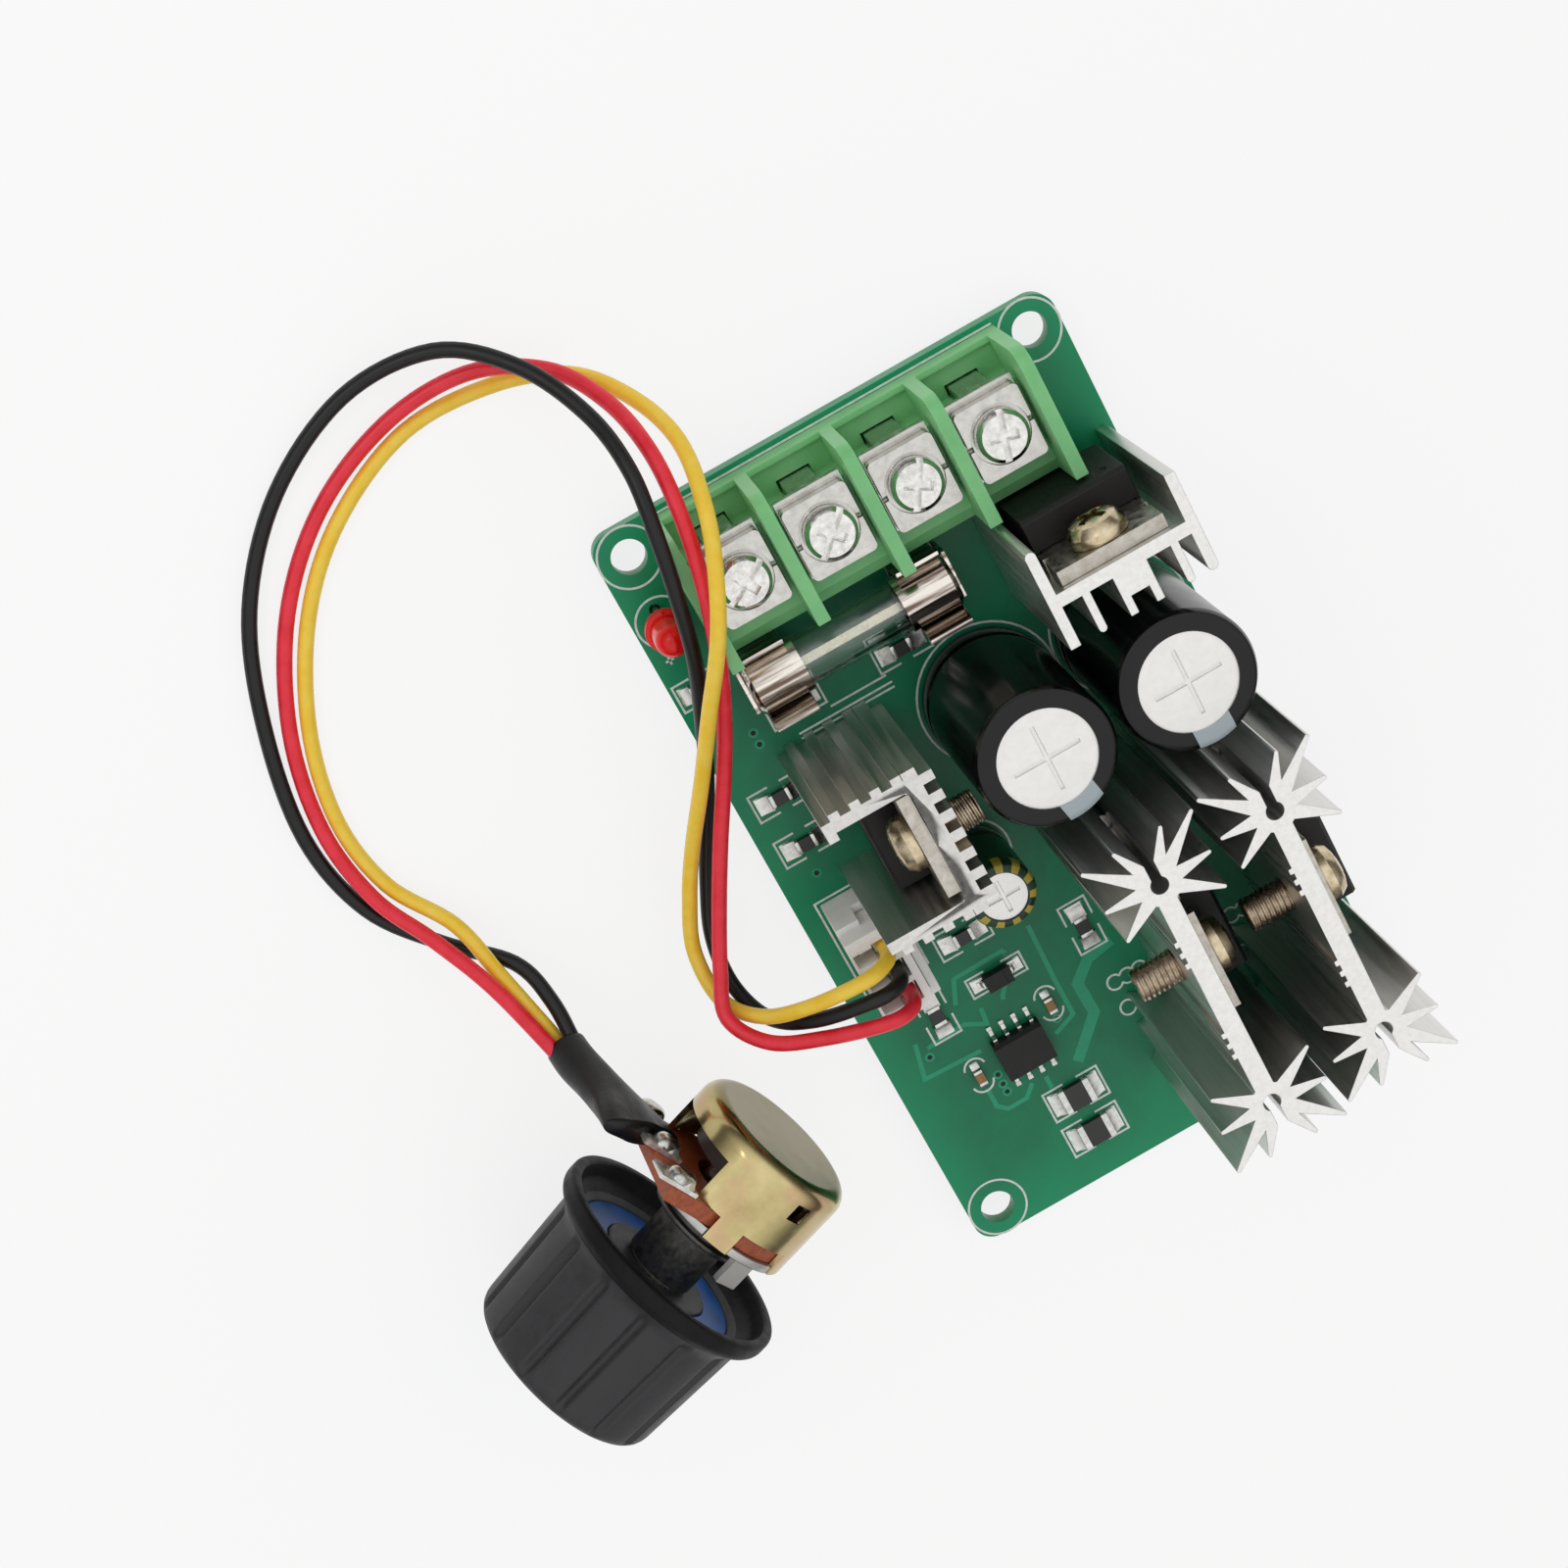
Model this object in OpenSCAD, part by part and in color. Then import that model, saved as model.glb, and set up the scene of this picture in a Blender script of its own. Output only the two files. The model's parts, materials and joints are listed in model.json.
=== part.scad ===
/* [Board] */
// Width of the circuit board, along the row of terminals
board_w = 45.2; // [45:0.2:60]
// Length of the circuit board
board_l = 78; // [77:0.5:100]
// Thickness of the circuit board
board_t = 1.6; // [1:0.1:2.4]
// Corner radius of the circuit board
board_corner_r = 2; // [0.5:0.5:2.5]
// Diameter of the four mounting holes
mount_hole_d = 3.2; // [2.6:0.1:3.6]
// Mounting hole centre to the long edge
mount_inset_x = 2.85; // [2.5:0.05:3.5]
// Mounting hole centre to the short edge
mount_inset_y = 2.75; // [2.5:0.05:3.5]
// Height of a solder joint below the board
solder_h = 1.5; // [1:0.1:2]

/* [Terminal block] */
// Distance between two poles
pole_pitch = 8.25; // [8:0.05:8.6]
// Thickness of the walls between the poles
divider_t = 1.2; // [0.8:0.1:1.4]
// Height of the dividers above the board
divider_h = 11.1; // [10.5:0.1:14]
// Depth of the block, from fuse side to wire side
block_depth = 12.3; // [12:0.1:13]
// Height of the platform that carries the contacts
platform_h = 6.4; // [5.5:0.1:7]
// Radius of the screw shank
clamp_screw_r = 1.45; // [1.2:0.05:1.5]
// Radius of the screw head
clamp_head_r = 2.3; // [2:0.1:2.6]
// Width of the clamp plate
clamp_plate_w = 6.1; // [5.4:0.1:6.3]
// Length of the clamp plate
clamp_plate_l = 6.75; // [6:0.05:6.9]

/* [Fuse] */
// Overall length of the fuse
fuse_l = 19.9; // [19:0.1:20.2]
// Radius of the end caps
fuse_cap_r = 2.6; // [2.4:0.05:2.7]
// Length of an end cap
fuse_cap_l = 5.1; // [4:0.1:6]
// Height of the fuse axis above the board
fuse_h = 5.2; // [4.6:0.1:5.4]
// Width of a spring clip, along the fuse
clip_w = 4.1; // [3.5:0.1:4.5]
// Height of the clip leaves above the board
clip_h = 8; // [7.6:0.1:9]
// Thickness of the clip metal
clip_t = 0.4; // [0.3:0.05:0.5]

/* [Capacitors and lamp] */
// Diameter of the two large capacitors
large_cap_d = 12.4; // [11:0.1:12.6]
// Height of the two large capacitors
large_cap_h = 20; // [16:0.5:25]
// Diameter of the small capacitor
small_cap_d = 6.3; // [5:0.1:6.5]
// Height of the small capacitor
small_cap_h = 11; // [7:0.5:12]
// Thickness of the shrink sleeve
sleeve_t = 0.2; // [0.15:0.05:0.3]
// Diameter of the indicator lens
lamp_d = 3; // [2.5:0.1:3.2]
// Height of the lens above the board
lamp_h = 7.7; // [7:0.1:9]

/* [Heat sinks] */
// Height of the star-finned heat sinks
star_h = 25; // [20:0.5:30]
// Distance between the two hubs of a star-finned heat sink
star_span = 23; // [22:0.1:25]
// Thickness of the web between the hubs
star_web_t = 1.8; // [1.4:0.1:2]
// Height of the winged and the toothed heat sink
low_sink_h = 20; // [18:0.5:22]
// Thickness of the web of the toothed heat sink
tooth_web_t = 1.3; // [1:0.1:1.5]
// Tooth spacing of the toothed heat sink
tooth_pitch = 1.95; // [1.6:0.05:2.2]

/* [Power packages] */
// Width of a package body and its tab
pack_w = 10; // [9.6:0.1:10.4]
// Height of the moulded body
pack_body_h = 9.2; // [8.8:0.1:9.6]
// Thickness of the moulded body
pack_t = 4.4; // [4:0.1:4.6]
// Thickness of the metal tab
tab_t = 1.3; // [1.1:0.05:1.4]
// Height of the metal tab above the moulded body
tab_h = 6.4; // [6:0.1:6.8]
// Radius of the mounting screws
pack_screw_r = 1.45; // [1.2:0.05:1.5]

/* [Connector] */
// Distance between two contacts
pin_pitch = 2.5; // [2.4:0.05:2.6]
// Length of the header, along its contacts
header_l = 9.9; // [9.6:0.1:10.4]
// Width of the header
header_w = 5.75; // [5.5:0.05:6]
// Height of the header above the board
header_h = 7; // [6.6:0.1:7.6]
// Height of the plug's top above the board
plug_top_h = 9.8; // [9.4:0.1:10.4]

/* [Potentiometer] */
// Diameter of the case
pot_case_d = 16; // [15:0.1:17]
// Depth of the case behind the wafer
pot_case_h = 6.8; // [6:0.1:8]
// Radius of the bushing's neck
bushing_r = 3.45; // [3.3:0.05:3.6]
// Radius of the shaft
shaft_r = 3; // [2.9:0.05:3.1]
// Distance between two lugs
lug_pitch = 5; // [4.5:0.1:5.2]

/* [Knob] */
// Radius of the flange round the knob's open end
knob_flange_r = 11.8; // [11.4:0.1:13]
// Radius of the ribbed body where it meets the flange
knob_body_r = 10.4; // [10.2:0.1:11]
// Radius of the ribbed body at its crown
knob_crown_r = 9.7; // [9:0.1:10]
// Length of the knob along its axis
knob_l = 15.6; // [14:0.1:18]
// Number of grooves round the ribbed body
knob_grooves = 14; // [8:1:20]

/* [Wires] */
// Radius of a wire with its insulation
wire_r = 0.7; // [0.5:0.05:0.72]

/* [Hidden] */
$fn = 48;

// How far a cut runs past the solid it cuts
over = 0.5;
// Gap between flat faces of pieces that move on each other
slip = 0.05;
// Running clearance round a shaft or a screw
run_gap = 0.08;
// Clearance of a lead in its board hole
lead_gap = 0.15;

// The board's top face, on which the parts stand
top = board_t;
// The surface under the object, which the solder joints touch
rest_z = -solder_h;

// Terminal block
pole_count = 4;
block_y = 26;
block_l = pole_count * pole_pitch + divider_t;
block_wall_h = 5.6;
block_chamfer = 1.1;
entry_floor_h = 1.6;
entry_depth = 3.1;
divider_round = 2;
platform_front = block_y + block_depth - entry_depth;
pole_y = platform_front - clamp_plate_l / 2 + slip * 3;
contact_t = 0.8;
contact_w = 6.3;
contact_lip = 0.85;
contact_leg_w = 2.9;
contact_pin_w = 1;
contact_z = top + platform_h;
clamp_plate_t = 1.2;
clamp_recess = 0.3;
clamp_recess_gap = 0.35;
clamp_notch_w = 0.5;
clamp_notch_depth = 0.45;
clamp_plate_z = contact_z + contact_t + slip;
clamp_head_h = 1.5;
clamp_head_round = 0.35;
clamp_slot_w = 0.6;
clamp_slot_depth = 0.6;
clamp_cross_r = 1.3;
clamp_screw_l = 6.2;
well_gap = 0.35;
well_floor_h = 1;
collar_r = 2.3;
collar_h = 1.2;
function pole_x(i) = (i - (pole_count - 1) / 2) * pole_pitch;

// Fuse and clips
fuse_x = -6.45;
fuse_y = 22.1;
fuse_z = top + fuse_h;
fuse_glass_r = 2.3;
fuse_glass_wall = 0.5;
fuse_cap_wall = 0.25;
fuse_cap_round = 0.4;
element_r = 0.12;
clip_gap = 0.06;
clip_inset = 2.4;
clip_base_h = 0.4;
clip_flare = 0.55;
clip_flare_h = 1.3;
clip_stop_h = 5;
clip_pin_w = 1;
function clip_x(s) = fuse_x + s * (fuse_l / 2 - clip_inset);

// Indicator lamp
lamp_x = -20.05;
lamp_y = 29.8;
lamp_base_h = 2.4;
lamp_flange_r = 1.9;
lamp_flange_h = 1;
lamp_lead_gap = 2.54;
lamp_lead_r = 0.25;
lamp_cup_r = 0.75;
lamp_cup_h = 1.6;
lamp_post_h = 2.1;
lamp_post_r = 0.3;
lamp_wire_gap = 1.3;

// Capacitors: places, then the details shared by all three
large_cap_x = [2.1, 15.4];
large_cap_y = [9.1, 8.8];
small_cap_x = -6;
small_cap_y = -3.9;
cap_rim_share = 0.71;
cap_round = 0.8;
cap_lip = 0.35;
cap_crimp_depth = 0.45;
cap_crimp_place = 2.2;
cap_seal_h = 1.4;
cap_score_w = 0.35;
cap_score_depth = 0.25;
cap_score_share = 0.5;
large_cap_lead_gap = 5;
small_cap_lead_gap = 2.5;
cap_lead_r = 0.3;

// Star-finned heat sinks, with their upper hub's place
star_x = [4.95, 16.25];
star_y = [-3.6, -2.9];
star_hub_r = 1.9;
star_pin_r = 0.7;
star_slot_w = 0.9;
fin_root_t = 1.8;
fin_tip_t = 0.4;
// Fin tips of the upper hub, as shares of the span: x to the side and y outwards
fin_tip_shares = [[-0.235, 0.19], [-0.1, 0.2], [0.1, 0.205], [0.228, 0.2],
    [0.222, 0.02], [0.215, -0.135], [-0.222, 0.01], [-0.2, -0.135]];
web_ridge_place = 6.7;
web_ridge_w = 1.1;
web_ridge_h = 0.7;

// Winged heat sink: outer left, right, lower and upper faces, then its walls
wing_x0 = 7.9;
wing_x1 = 22;
wing_y0 = 16.4;
wing_y1 = 25.6;
wing_t = 1;
wing_plate_y = 20.1;
wing_plate_t = 1.2;
wing_block_w = 3.2;
wing_block_x = 15.2;
wing_notch_w = 1.7;
wing_notch_depth = 1.6;
wing_fin_t = 0.75;
wing_fin_x = [11.1, 19.4];
wing_fin_gap = 0.4;
wing_foot_w = 1.4;
wing_foot_t = 0.8;

// Toothed heat sink: a U with its open side to the board's left edge
tooth_x0 = -17.1;
tooth_web_x = -9.3;
tooth_y0 = 0;
tooth_y1 = 14.4;
tooth_arm_t = 1.1;
tooth_depth = 1.2;
tooth_w = 0.95;
tooth_arm_depth = 0.6;
tooth_hook = 0.7;
tooth_corner = 0.45;
tooth_foot_y = 7.2;

// Power packages: the back of the tab lies on its sink
lead_pitch = 2.54;
lead_w = 0.8;
lead_t = 0.5;
lead_neck_w = 1.3;
lead_neck_h = 2.2;
lead_place = 2.4;
pack_base_h = 3.5;
tab_hole_r = 1.85;
tab_hole_drop = 2.8;
tab_notch = 0.5;
tab_shoulder = 0.4;
pack_draft = 0.35;
pack_dot_r = 0.6;
pack_dot_depth = 0.15;
pack_seat = 0.02;
screw_head_r = 2.6;
screw_head_h = 1.9;
screw_cross_w = 0.7;
screw_cross_depth = 0.9;
screw_stub = 4;
short_stub = 2.2;
transistor_y = [-15.1, -14.4];
diode_x = 14.8;
regulator_y = 7.2;
hole_z = top + pack_base_h + pack_body_h + tab_h - tab_hole_drop;

// Connector
plug_x = -17.45;
pin_x = -17.2;
pin_y = -5.55;
pin_w = 0.64;
pin_h = 5.6;
header_wall = 0.8;
header_floor_h = 2;
header_slot_w = 1.1;
plug_gap = 0.1;
plug_lip_h = 2.7;
plug_cavity_w = 1.9;
plug_window_w = 1.3;
plug_window_h = 3.4;
crimp_w = 1.7;
crimp_wall = 0.25;
crimp_top_h = 7.9;
crimp_base_h = 2.6;
plug_rib_w = 0.8;
plug_rib_h = 0.45;

// Chip parts: length, width, height, and places as shares of half the board's width and length
r_large = [3.2, 2.5, 0.6];
r_large_shares = [[-0.363, -0.769], [-0.363, -0.877]];
r_small = [2, 1.25, 0.5];
r_small_shares = [[-0.823, 0.267], [-0.823, 0.138]];
// Three more beside the fuse, as shares of its length from its centre, and one below the toothed
// heat sink, as shares of its depth from its near corner
r_small_fuse_shares = [[0.17875, -0.25608], [-0.68095, 0.03593], [-0.35388, -0.2404]];
r_small_sink_share = [-0.07611, -0.70958];
function beside(origin, size, share) = [origin[0] + share[0] * size, origin[1] + share[1] * size];
r_small_places = concat([for (p = r_small_shares) [p[0] * board_w / 2, p[1] * board_l / 2]],
    [for (i = [0, 1]) beside([fuse_x, fuse_y], fuse_l, r_small_fuse_shares[i])],
    [beside([tooth_web_x, tooth_y0], tooth_y1 - tooth_y0, r_small_sink_share)],
    [beside([fuse_x, fuse_y], fuse_l, r_small_fuse_shares[2])]);
r_small_turned_shares = [[-0.708, -0.405], [-0.013, -0.39]];
c_small = [1.6, 0.85, 0.8];
c_small_turned_shares = [[-0.675, -0.597], [-0.283, -0.523]];
chip_end_share = 0.2;
chip_solder_l = 0.6;
chip_solder_h = 0.35;
chip_seat = 0.04;
diode_chip_shares = [-0.416, -0.392];
diode_chip = [2.6, 1.6, 1.1];
diode_lead_l = 0.7;
diode_lead_w = 0.6;
driver_shares = [-0.465, -0.585];
driver = [4.9, 3.9, 1.45];
driver_lift = 0.15;
driver_pitch = 1.27;
driver_lead_w = 0.42;
driver_lead_t = 0.2;
driver_toe = 3;
driver_dot_r = 0.35;
driver_chamfer = 0.35;

// Potentiometer and knob: the head's own axis runs from the knob's open end to the case's back
head_x = -46.7;
head_y = -18.9;
head_rise = 4.4;
head_turn = 20.5;
head_roll = 14;
head_z = rest_z + slip + knob_flange_r * cos(head_rise);
knob_flange_h = 1.6;
knob_shoulder_h = 1.3;
knob_crown_round = 1.9;
knob_wall = 1;
knob_mouth_wall = 1;
knob_floor_t = 1.2;
knob_cavity_l = 12.4;
knob_cavity_r = 8.5;
knob_hub_r = 5.6;
knob_hub_drop = 2.4;
knob_groove_r = 0.45;
knob_groove_sink = 0.1;
knob_insert_top = 2.6;
knob_insert_wall = 1.3;
knob_cap_r = 6.4;
knob_cap_t = 1.5;
knob_cap_proud = 0.3;
knob_mark_w = 1;
knob_fit = 0.02;
shaft_end = 12;
shaft_slot_w = 1;
shaft_slot_l = 6;
bushing_end = 2;
washer_z = 3.2;
washer_big_r = 4.95;
boss_r = 4.3;
washer_t = 0.5;
boss_z = washer_z + washer_t;
plate_z = 5.2;
plate_t = 0.8;
plate_r = 7.9;
wafer_t = 1.6;
wafer_z = plate_z + plate_t;
wafer_r = 7.4;
wafer_tongue = 9.6;
wafer_tongue_w = 12.6;
case_z = wafer_z + wafer_t;
case_wall = 0.5;
case_round = 1.6;
case_leg_w = 2.6;
case_leg_turns = [22, 158, 218, 322];
case_window_w = 10;
case_window_h = 4;
punch_w = 1.7;
punch_h = 1.7;
punch_z = 3.4;
tab_turn = 8;
tab_w = 2.4;
tab_l = 2.8;
tab_thick = 0.8;
lug_w = 2.4;
lug_t = 0.4;
lug_root = 7;
lug_end = 11.4;
rivet_place = 8.3;
rivet_r = 1.2;
rivet_h = 0.7;
rotor_r = 5.8;
rotor_z = 2;
rotor_t = 1.4;
wiper_w = 1.6;
wiper_t = 0.25;

// Heat-shrink sleeve, in the head's own frame, from the wires to the lugs
sleeve_route = [[10, 16.5, 7.2], [8.2, 15.8, 7.2], [6, 14.6, 7.4], [3.6, 13.2, 7.6], [1.6, 12.2, 7.8], [0, 11.4, 7.8]];
// Half widths of the sleeve at each of those places, along the row of lugs and across it
sleeve_long = [1.9, 2, 2.6, 3.8, 5.2, 6];
sleeve_short = [1.9, 1.9, 1.9, 1.8, 1.5, 1.2];
sleeve_sides = 12;

// Routes of the wires, from the plug over the terminal block to the sleeve
tube_sides = 8;
tube_ref = [0.5, 0, 0.87];
yellow_route = [[-17.2, -3.05, 9.5], [-17.2, -3.05, 12.5], [-18, -3, 14.5], [-20.25, -3, 15.5],
    [-25.5, -3.5, 13.25], [-29.5, -3.75, 9.5], [-32, -2, 6], [-32, 2.5, 4], [-30, 7, 3.75],
    [-27.5, 11.5, 5], [-24, 17.5, 8.5], [-20.5, 24, 12.75], [-17, 30, 15.75], [-14.5, 35, 16],
    [-12.5, 40, 14.5], [-11.5, 45, 10], [-13, 49, 5], [-16.5, 52.5, 1.25], [-22.5, 54.5, -0.75],
    [-31, 54.75, -0.75], [-39.5, 51, -0.75], [-46, 45, -0.75], [-51, 36.5, -0.75],
    [-53.25, 28, -0.75], [-52.5, 20.75, -0.25], [-49, 15, 1.75], [-47.75, 9, 3.25],
    [-46.15, 0.5, 4.45]];
red_route = [[-17.2, -8.05, 9.5], [-17.2, -8.05, 12.5], [-18, -8, 14.5], [-20.25, -7.5, 15.5],
    [-25.5, -6.75, 13.5], [-30, -5.5, 11.25], [-32.25, -2.5, 9], [-30.75, 1, 7.25],
    [-28, 6, 6.25], [-25, 11.5, 6.75], [-22, 17, 8.25], [-19.5, 22.5, 10.75], [-17.5, 28, 13.2],
    [-15.75, 34, 14], [-14.5, 40, 13.5], [-14, 45.5, 10.5], [-15, 50, 6], [-18, 54, 2.25],
    [-24, 56.75, 0.75], [-32, 56.25, -0.25], [-40.5, 52.5, -0.75], [-47.5, 46, -0.75],
    [-52.6, 37, -0.75], [-54.75, 28, -0.5], [-54, 20.5, 0.5], [-51.25, 15, 2.5],
    [-48.75, 9, 4.5], [-46.75, 0.5, 6]];
black_route = [[-17.2, -5.55, 9.5], [-17.2, -5.55, 12.5], [-18, -5.5, 14.25], [-20.25, -5.25, 15],
    [-25.5, -5.25, 12.5], [-29, -4.75, 8.5], [-30.5, -1.75, 5], [-30, 2.5, 3], [-28, 7, 2.5],
    [-25.5, 12, 3.5], [-23, 17.5, 5.75], [-21, 23, 8.5], [-19.25, 28.5, 11.5], [-18, 34.5, 13.5],
    [-17, 40, 13.75], [-16.25, 45.5, 12], [-17, 50.5, 8.5], [-20, 56, 5], [-25.5, 60, 2],
    [-34, 60, 0], [-43, 55.5, -0.75], [-50, 48, -0.75], [-54.25, 38.5, -0.75],
    [-56.5, 28, -0.75], [-55.25, 19.5, -0.75], [-51, 13.5, 0], [-46.3, 9.25, 2],
    [-45.1, 5, 3.6], [-45.15, 0.5, 6]];

// Each package stands with its tab's back on this point, turned by this angle about its height
package_at = [[star_x[0] + star_web_t / 2, transistor_y[0], 90],
    [star_x[1] + star_web_t / 2, transistor_y[1], 90],
    [diode_x, wing_plate_y + wing_plate_t, 180],
    [tooth_web_x, regulator_y, -90]];
function package_lead(p, s) = let (a = package_at[p][2], q = [s * lead_pitch, -lead_place - pack_seat])
    [package_at[p][0] + q[0] * cos(a) - q[1] * sin(a), package_at[p][1] + q[0] * sin(a) + q[1] * cos(a), lead_w / 2];

// Places of all leads that pass through the board: x, y and the radius of the lead
contact_leads = [for (i = [0:pole_count - 1]) [pole_x(i), platform_front + contact_t / 2, contact_pin_w / 2]];
clip_leads = [for (s = [-1, 1], t = [-1, 1])
    [clip_x(s), fuse_y + t * (fuse_cap_r + clip_gap + clip_t / 2), clip_pin_w / 2]];
lamp_lead_places = [for (s = [-1, 1]) [lamp_x, lamp_y + s * lamp_lead_gap / 2, lamp_lead_r]];
cap_lead_places = concat(
    [for (i = [0, 1], s = [-1, 1]) [large_cap_x[i], large_cap_y[i] + s * large_cap_lead_gap / 2, cap_lead_r]],
    [for (s = [-1, 1]) [small_cap_x, small_cap_y + s * small_cap_lead_gap / 2, cap_lead_r]]);
star_pin_places = [for (i = [0, 1], s = [0, 1]) [star_x[i], star_y[i] - s * star_span, star_pin_r]];
low_pin_places = [[wing_block_x, wing_y0 + wing_notch_depth / 2, star_pin_r / 2],
    [tooth_web_x + tooth_web_t / 2, tooth_y0 + tooth_foot_y, tooth_web_t / 2]];
package_lead_places = [for (p = [0:3], s = [-1, 0, 1]) package_lead(p, s)];
header_lead_places = [for (s = [-1, 0, 1]) [pin_x, pin_y + s * pin_pitch, pin_w / 2]];
all_leads = concat(contact_leads, clip_leads, lamp_lead_places, cap_lead_places,
    star_pin_places, package_lead_places, header_lead_places);

// Bare profile helpers
module rounded(w, l, r) {
    square([w - 2 * r, l], center = true);
    square([w, l - 2 * r], center = true);
    for (x = [-1, 1], y = [-1, 1]) translate([x * (w / 2 - r), y * (l / 2 - r)]) circle(r);
}
module block(x, y, z) { translate([-x / 2, -y / 2, 0]) cube([x, y, z]); }

// Circuit board with its mounting holes and one hole for each lead
module board() {
    color("seagreen") difference() {
        linear_extrude(board_t) rounded(board_w, board_l, board_corner_r);
        for (x = [-1, 1], y = [-1, 1])
            translate([x * (board_w / 2 - mount_inset_x), y * (board_l / 2 - mount_inset_y), -over])
                cylinder(r = mount_hole_d / 2, h = board_t + 2 * over);
        for (p = all_leads) translate([p[0], p[1], -over])
            cylinder(r = p[2] * sqrt(2) + lead_gap, h = board_t + 2 * over, $fn = 24);
    }
}

// Solder joints: a hollow-sided cone and a rounded stub round the tip of each lead
module solder_joint(r) {
    foot = r * sqrt(2) + lead_gap * 2;
    rotate_extrude($fn = 20) polygon([[0, 0], [foot, 0], [foot * 0.62, -solder_h * 0.33],
        [r + lead_gap / 2, -solder_h * 0.8], [r * 0.6, -solder_h], [0, -solder_h]]);
}
module solder_joints() {
    color("silver") for (p = all_leads) translate([p[0], p[1], 0]) solder_joint(p[2]);
}

// Terminal block: moulded body with a well under each screw and a slot for each contact's leg
module terminal_profile() {
    y1 = block_y + block_depth;
    polygon([[block_y, 0], [block_y, block_wall_h], [block_y + block_chamfer, platform_h],
        [platform_front - slip, platform_h], [platform_front - slip, entry_floor_h],
        [y1 - divider_t / 2, entry_floor_h], [y1 - divider_t / 2, entry_floor_h + divider_t / 2],
        [y1, entry_floor_h + divider_t / 2], [y1, 0]]);
}
module divider_profile() {
    y1 = block_y + block_depth;
    translate([block_y, 0]) square([block_depth - divider_round, divider_h]);
    translate([block_y, 0]) square([block_depth, divider_h - divider_round]);
    translate([y1 - divider_round, divider_h - divider_round]) circle(divider_round);
}
module across() { rotate([90, 0, 90]) children(); }
module terminal_body() {
    color("lightgreen") difference() {
        translate([0, 0, top]) union() {
            translate([-block_l / 2, 0, 0]) across() linear_extrude(block_l) terminal_profile();
            for (i = [0:pole_count]) translate([pole_x(i - 0.5) - divider_t / 2, 0, 0])
                across() linear_extrude(divider_t) divider_profile();
        }
        for (i = [0:pole_count - 1]) {
            translate([pole_x(i), pole_y, top + well_floor_h])
                cylinder(r = collar_r + well_gap, h = platform_h);
            translate([pole_x(i), platform_front + contact_t / 2 - slip, top - over])
                block(contact_leg_w + 2 * lead_gap, contact_t + 2 * lead_gap, platform_h);
        }
    }
}

// Contact: a plate under the clamp, a tapped collar, and a leg that bends down into the board
module terminal_contacts() {
    color("gainsboro") for (i = [0:pole_count - 1]) translate([pole_x(i), 0, 0]) difference() {
        union() {
            translate([0, (pole_y - clamp_plate_l / 2 + platform_front + contact_t) / 2, contact_z])
                block(contact_w, platform_front + contact_t - pole_y + clamp_plate_l / 2, contact_t);
            translate([0, platform_front + contact_t / 2, top + entry_floor_h / 2])
                block(contact_leg_w, contact_t, contact_z - top - entry_floor_h / 2);
            translate([0, platform_front + contact_t / 2, 0])
                block(contact_pin_w, contact_t, contact_z);
            translate([0, pole_y, contact_z - collar_h]) cylinder(r = collar_r, h = collar_h);
        }
        translate([0, pole_y, contact_z - collar_h - over])
            cylinder(r = clamp_screw_r + run_gap, h = collar_h + contact_t + 2 * over);
    }
}

// Clamp plate: square, with a round recess for the screw head and a saw cut in each side
module clamp_plate(i) {
    color("silver") translate([pole_x(i), pole_y, clamp_plate_z]) difference() {
        linear_extrude(clamp_plate_t) rounded(clamp_plate_w, clamp_plate_l, clamp_notch_w);
        translate([0, 0, -over]) cylinder(r = clamp_screw_r + run_gap, h = clamp_plate_t + 2 * over);
        translate([0, 0, clamp_plate_t - clamp_recess])
            cylinder(r = clamp_head_r + clamp_recess_gap, h = clamp_recess + over);
        for (s = [-1, 1]) translate([s * clamp_plate_w / 2, 0, -over])
            block(2 * clamp_notch_depth, clamp_notch_w, clamp_plate_t + 2 * over);
    }
}

// Terminal screw with a slot and a cross in its head
module clamp_screw(i) {
    head_z0 = clamp_plate_z + clamp_plate_t - clamp_recess + slip;
    color("silver") translate([pole_x(i), pole_y, head_z0]) difference() {
        rotate_extrude() polygon([[0, -clamp_screw_l], [clamp_screw_r - clamp_head_round, -clamp_screw_l],
            [clamp_screw_r, clamp_head_round - clamp_screw_l], [clamp_screw_r, 0], [clamp_head_r, 0],
            [clamp_head_r, clamp_head_h - clamp_head_round],
            [clamp_head_r - clamp_head_round, clamp_head_h], [0, clamp_head_h]]);
        translate([0, 0, clamp_head_h - clamp_slot_depth]) rotate(30 + 15 * i) {
            block(2 * clamp_head_r + over, clamp_slot_w, clamp_slot_depth + over);
            block(clamp_slot_w * 1.4, 2 * clamp_cross_r, clamp_slot_depth + over);
        }
    }
}

// Fuse, lying along x
module fuse_frame() { translate([fuse_x, fuse_y, fuse_z]) rotate([0, 90, 0]) children(); }
module fuse_glass() {
    glass_l = fuse_l - 2 * fuse_cap_wall - 2 * slip;
    color("lightcyan", 0.4) fuse_frame() difference() {
        cylinder(r = fuse_glass_r, h = glass_l, center = true);
        cylinder(r = fuse_glass_r - fuse_glass_wall, h = glass_l + over, center = true);
    }
}
module fuse_caps() {
    color("silver") fuse_frame() for (s = [0, 1]) mirror([0, 0, s]) translate([0, 0, fuse_l / 2])
        rotate_extrude() polygon([[0, 0], [fuse_cap_r - fuse_cap_round, 0], [fuse_cap_r, -fuse_cap_round],
            [fuse_cap_r, -fuse_cap_l], [fuse_glass_r + run_gap, -fuse_cap_l],
            [fuse_glass_r + run_gap, -fuse_cap_wall], [0, -fuse_cap_wall]]);
}
module fuse_element() {
    color("dimgray") fuse_frame()
        cylinder(r = element_r, h = fuse_l - 2 * fuse_cap_wall - slip, center = true, $fn = 16);
}

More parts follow.
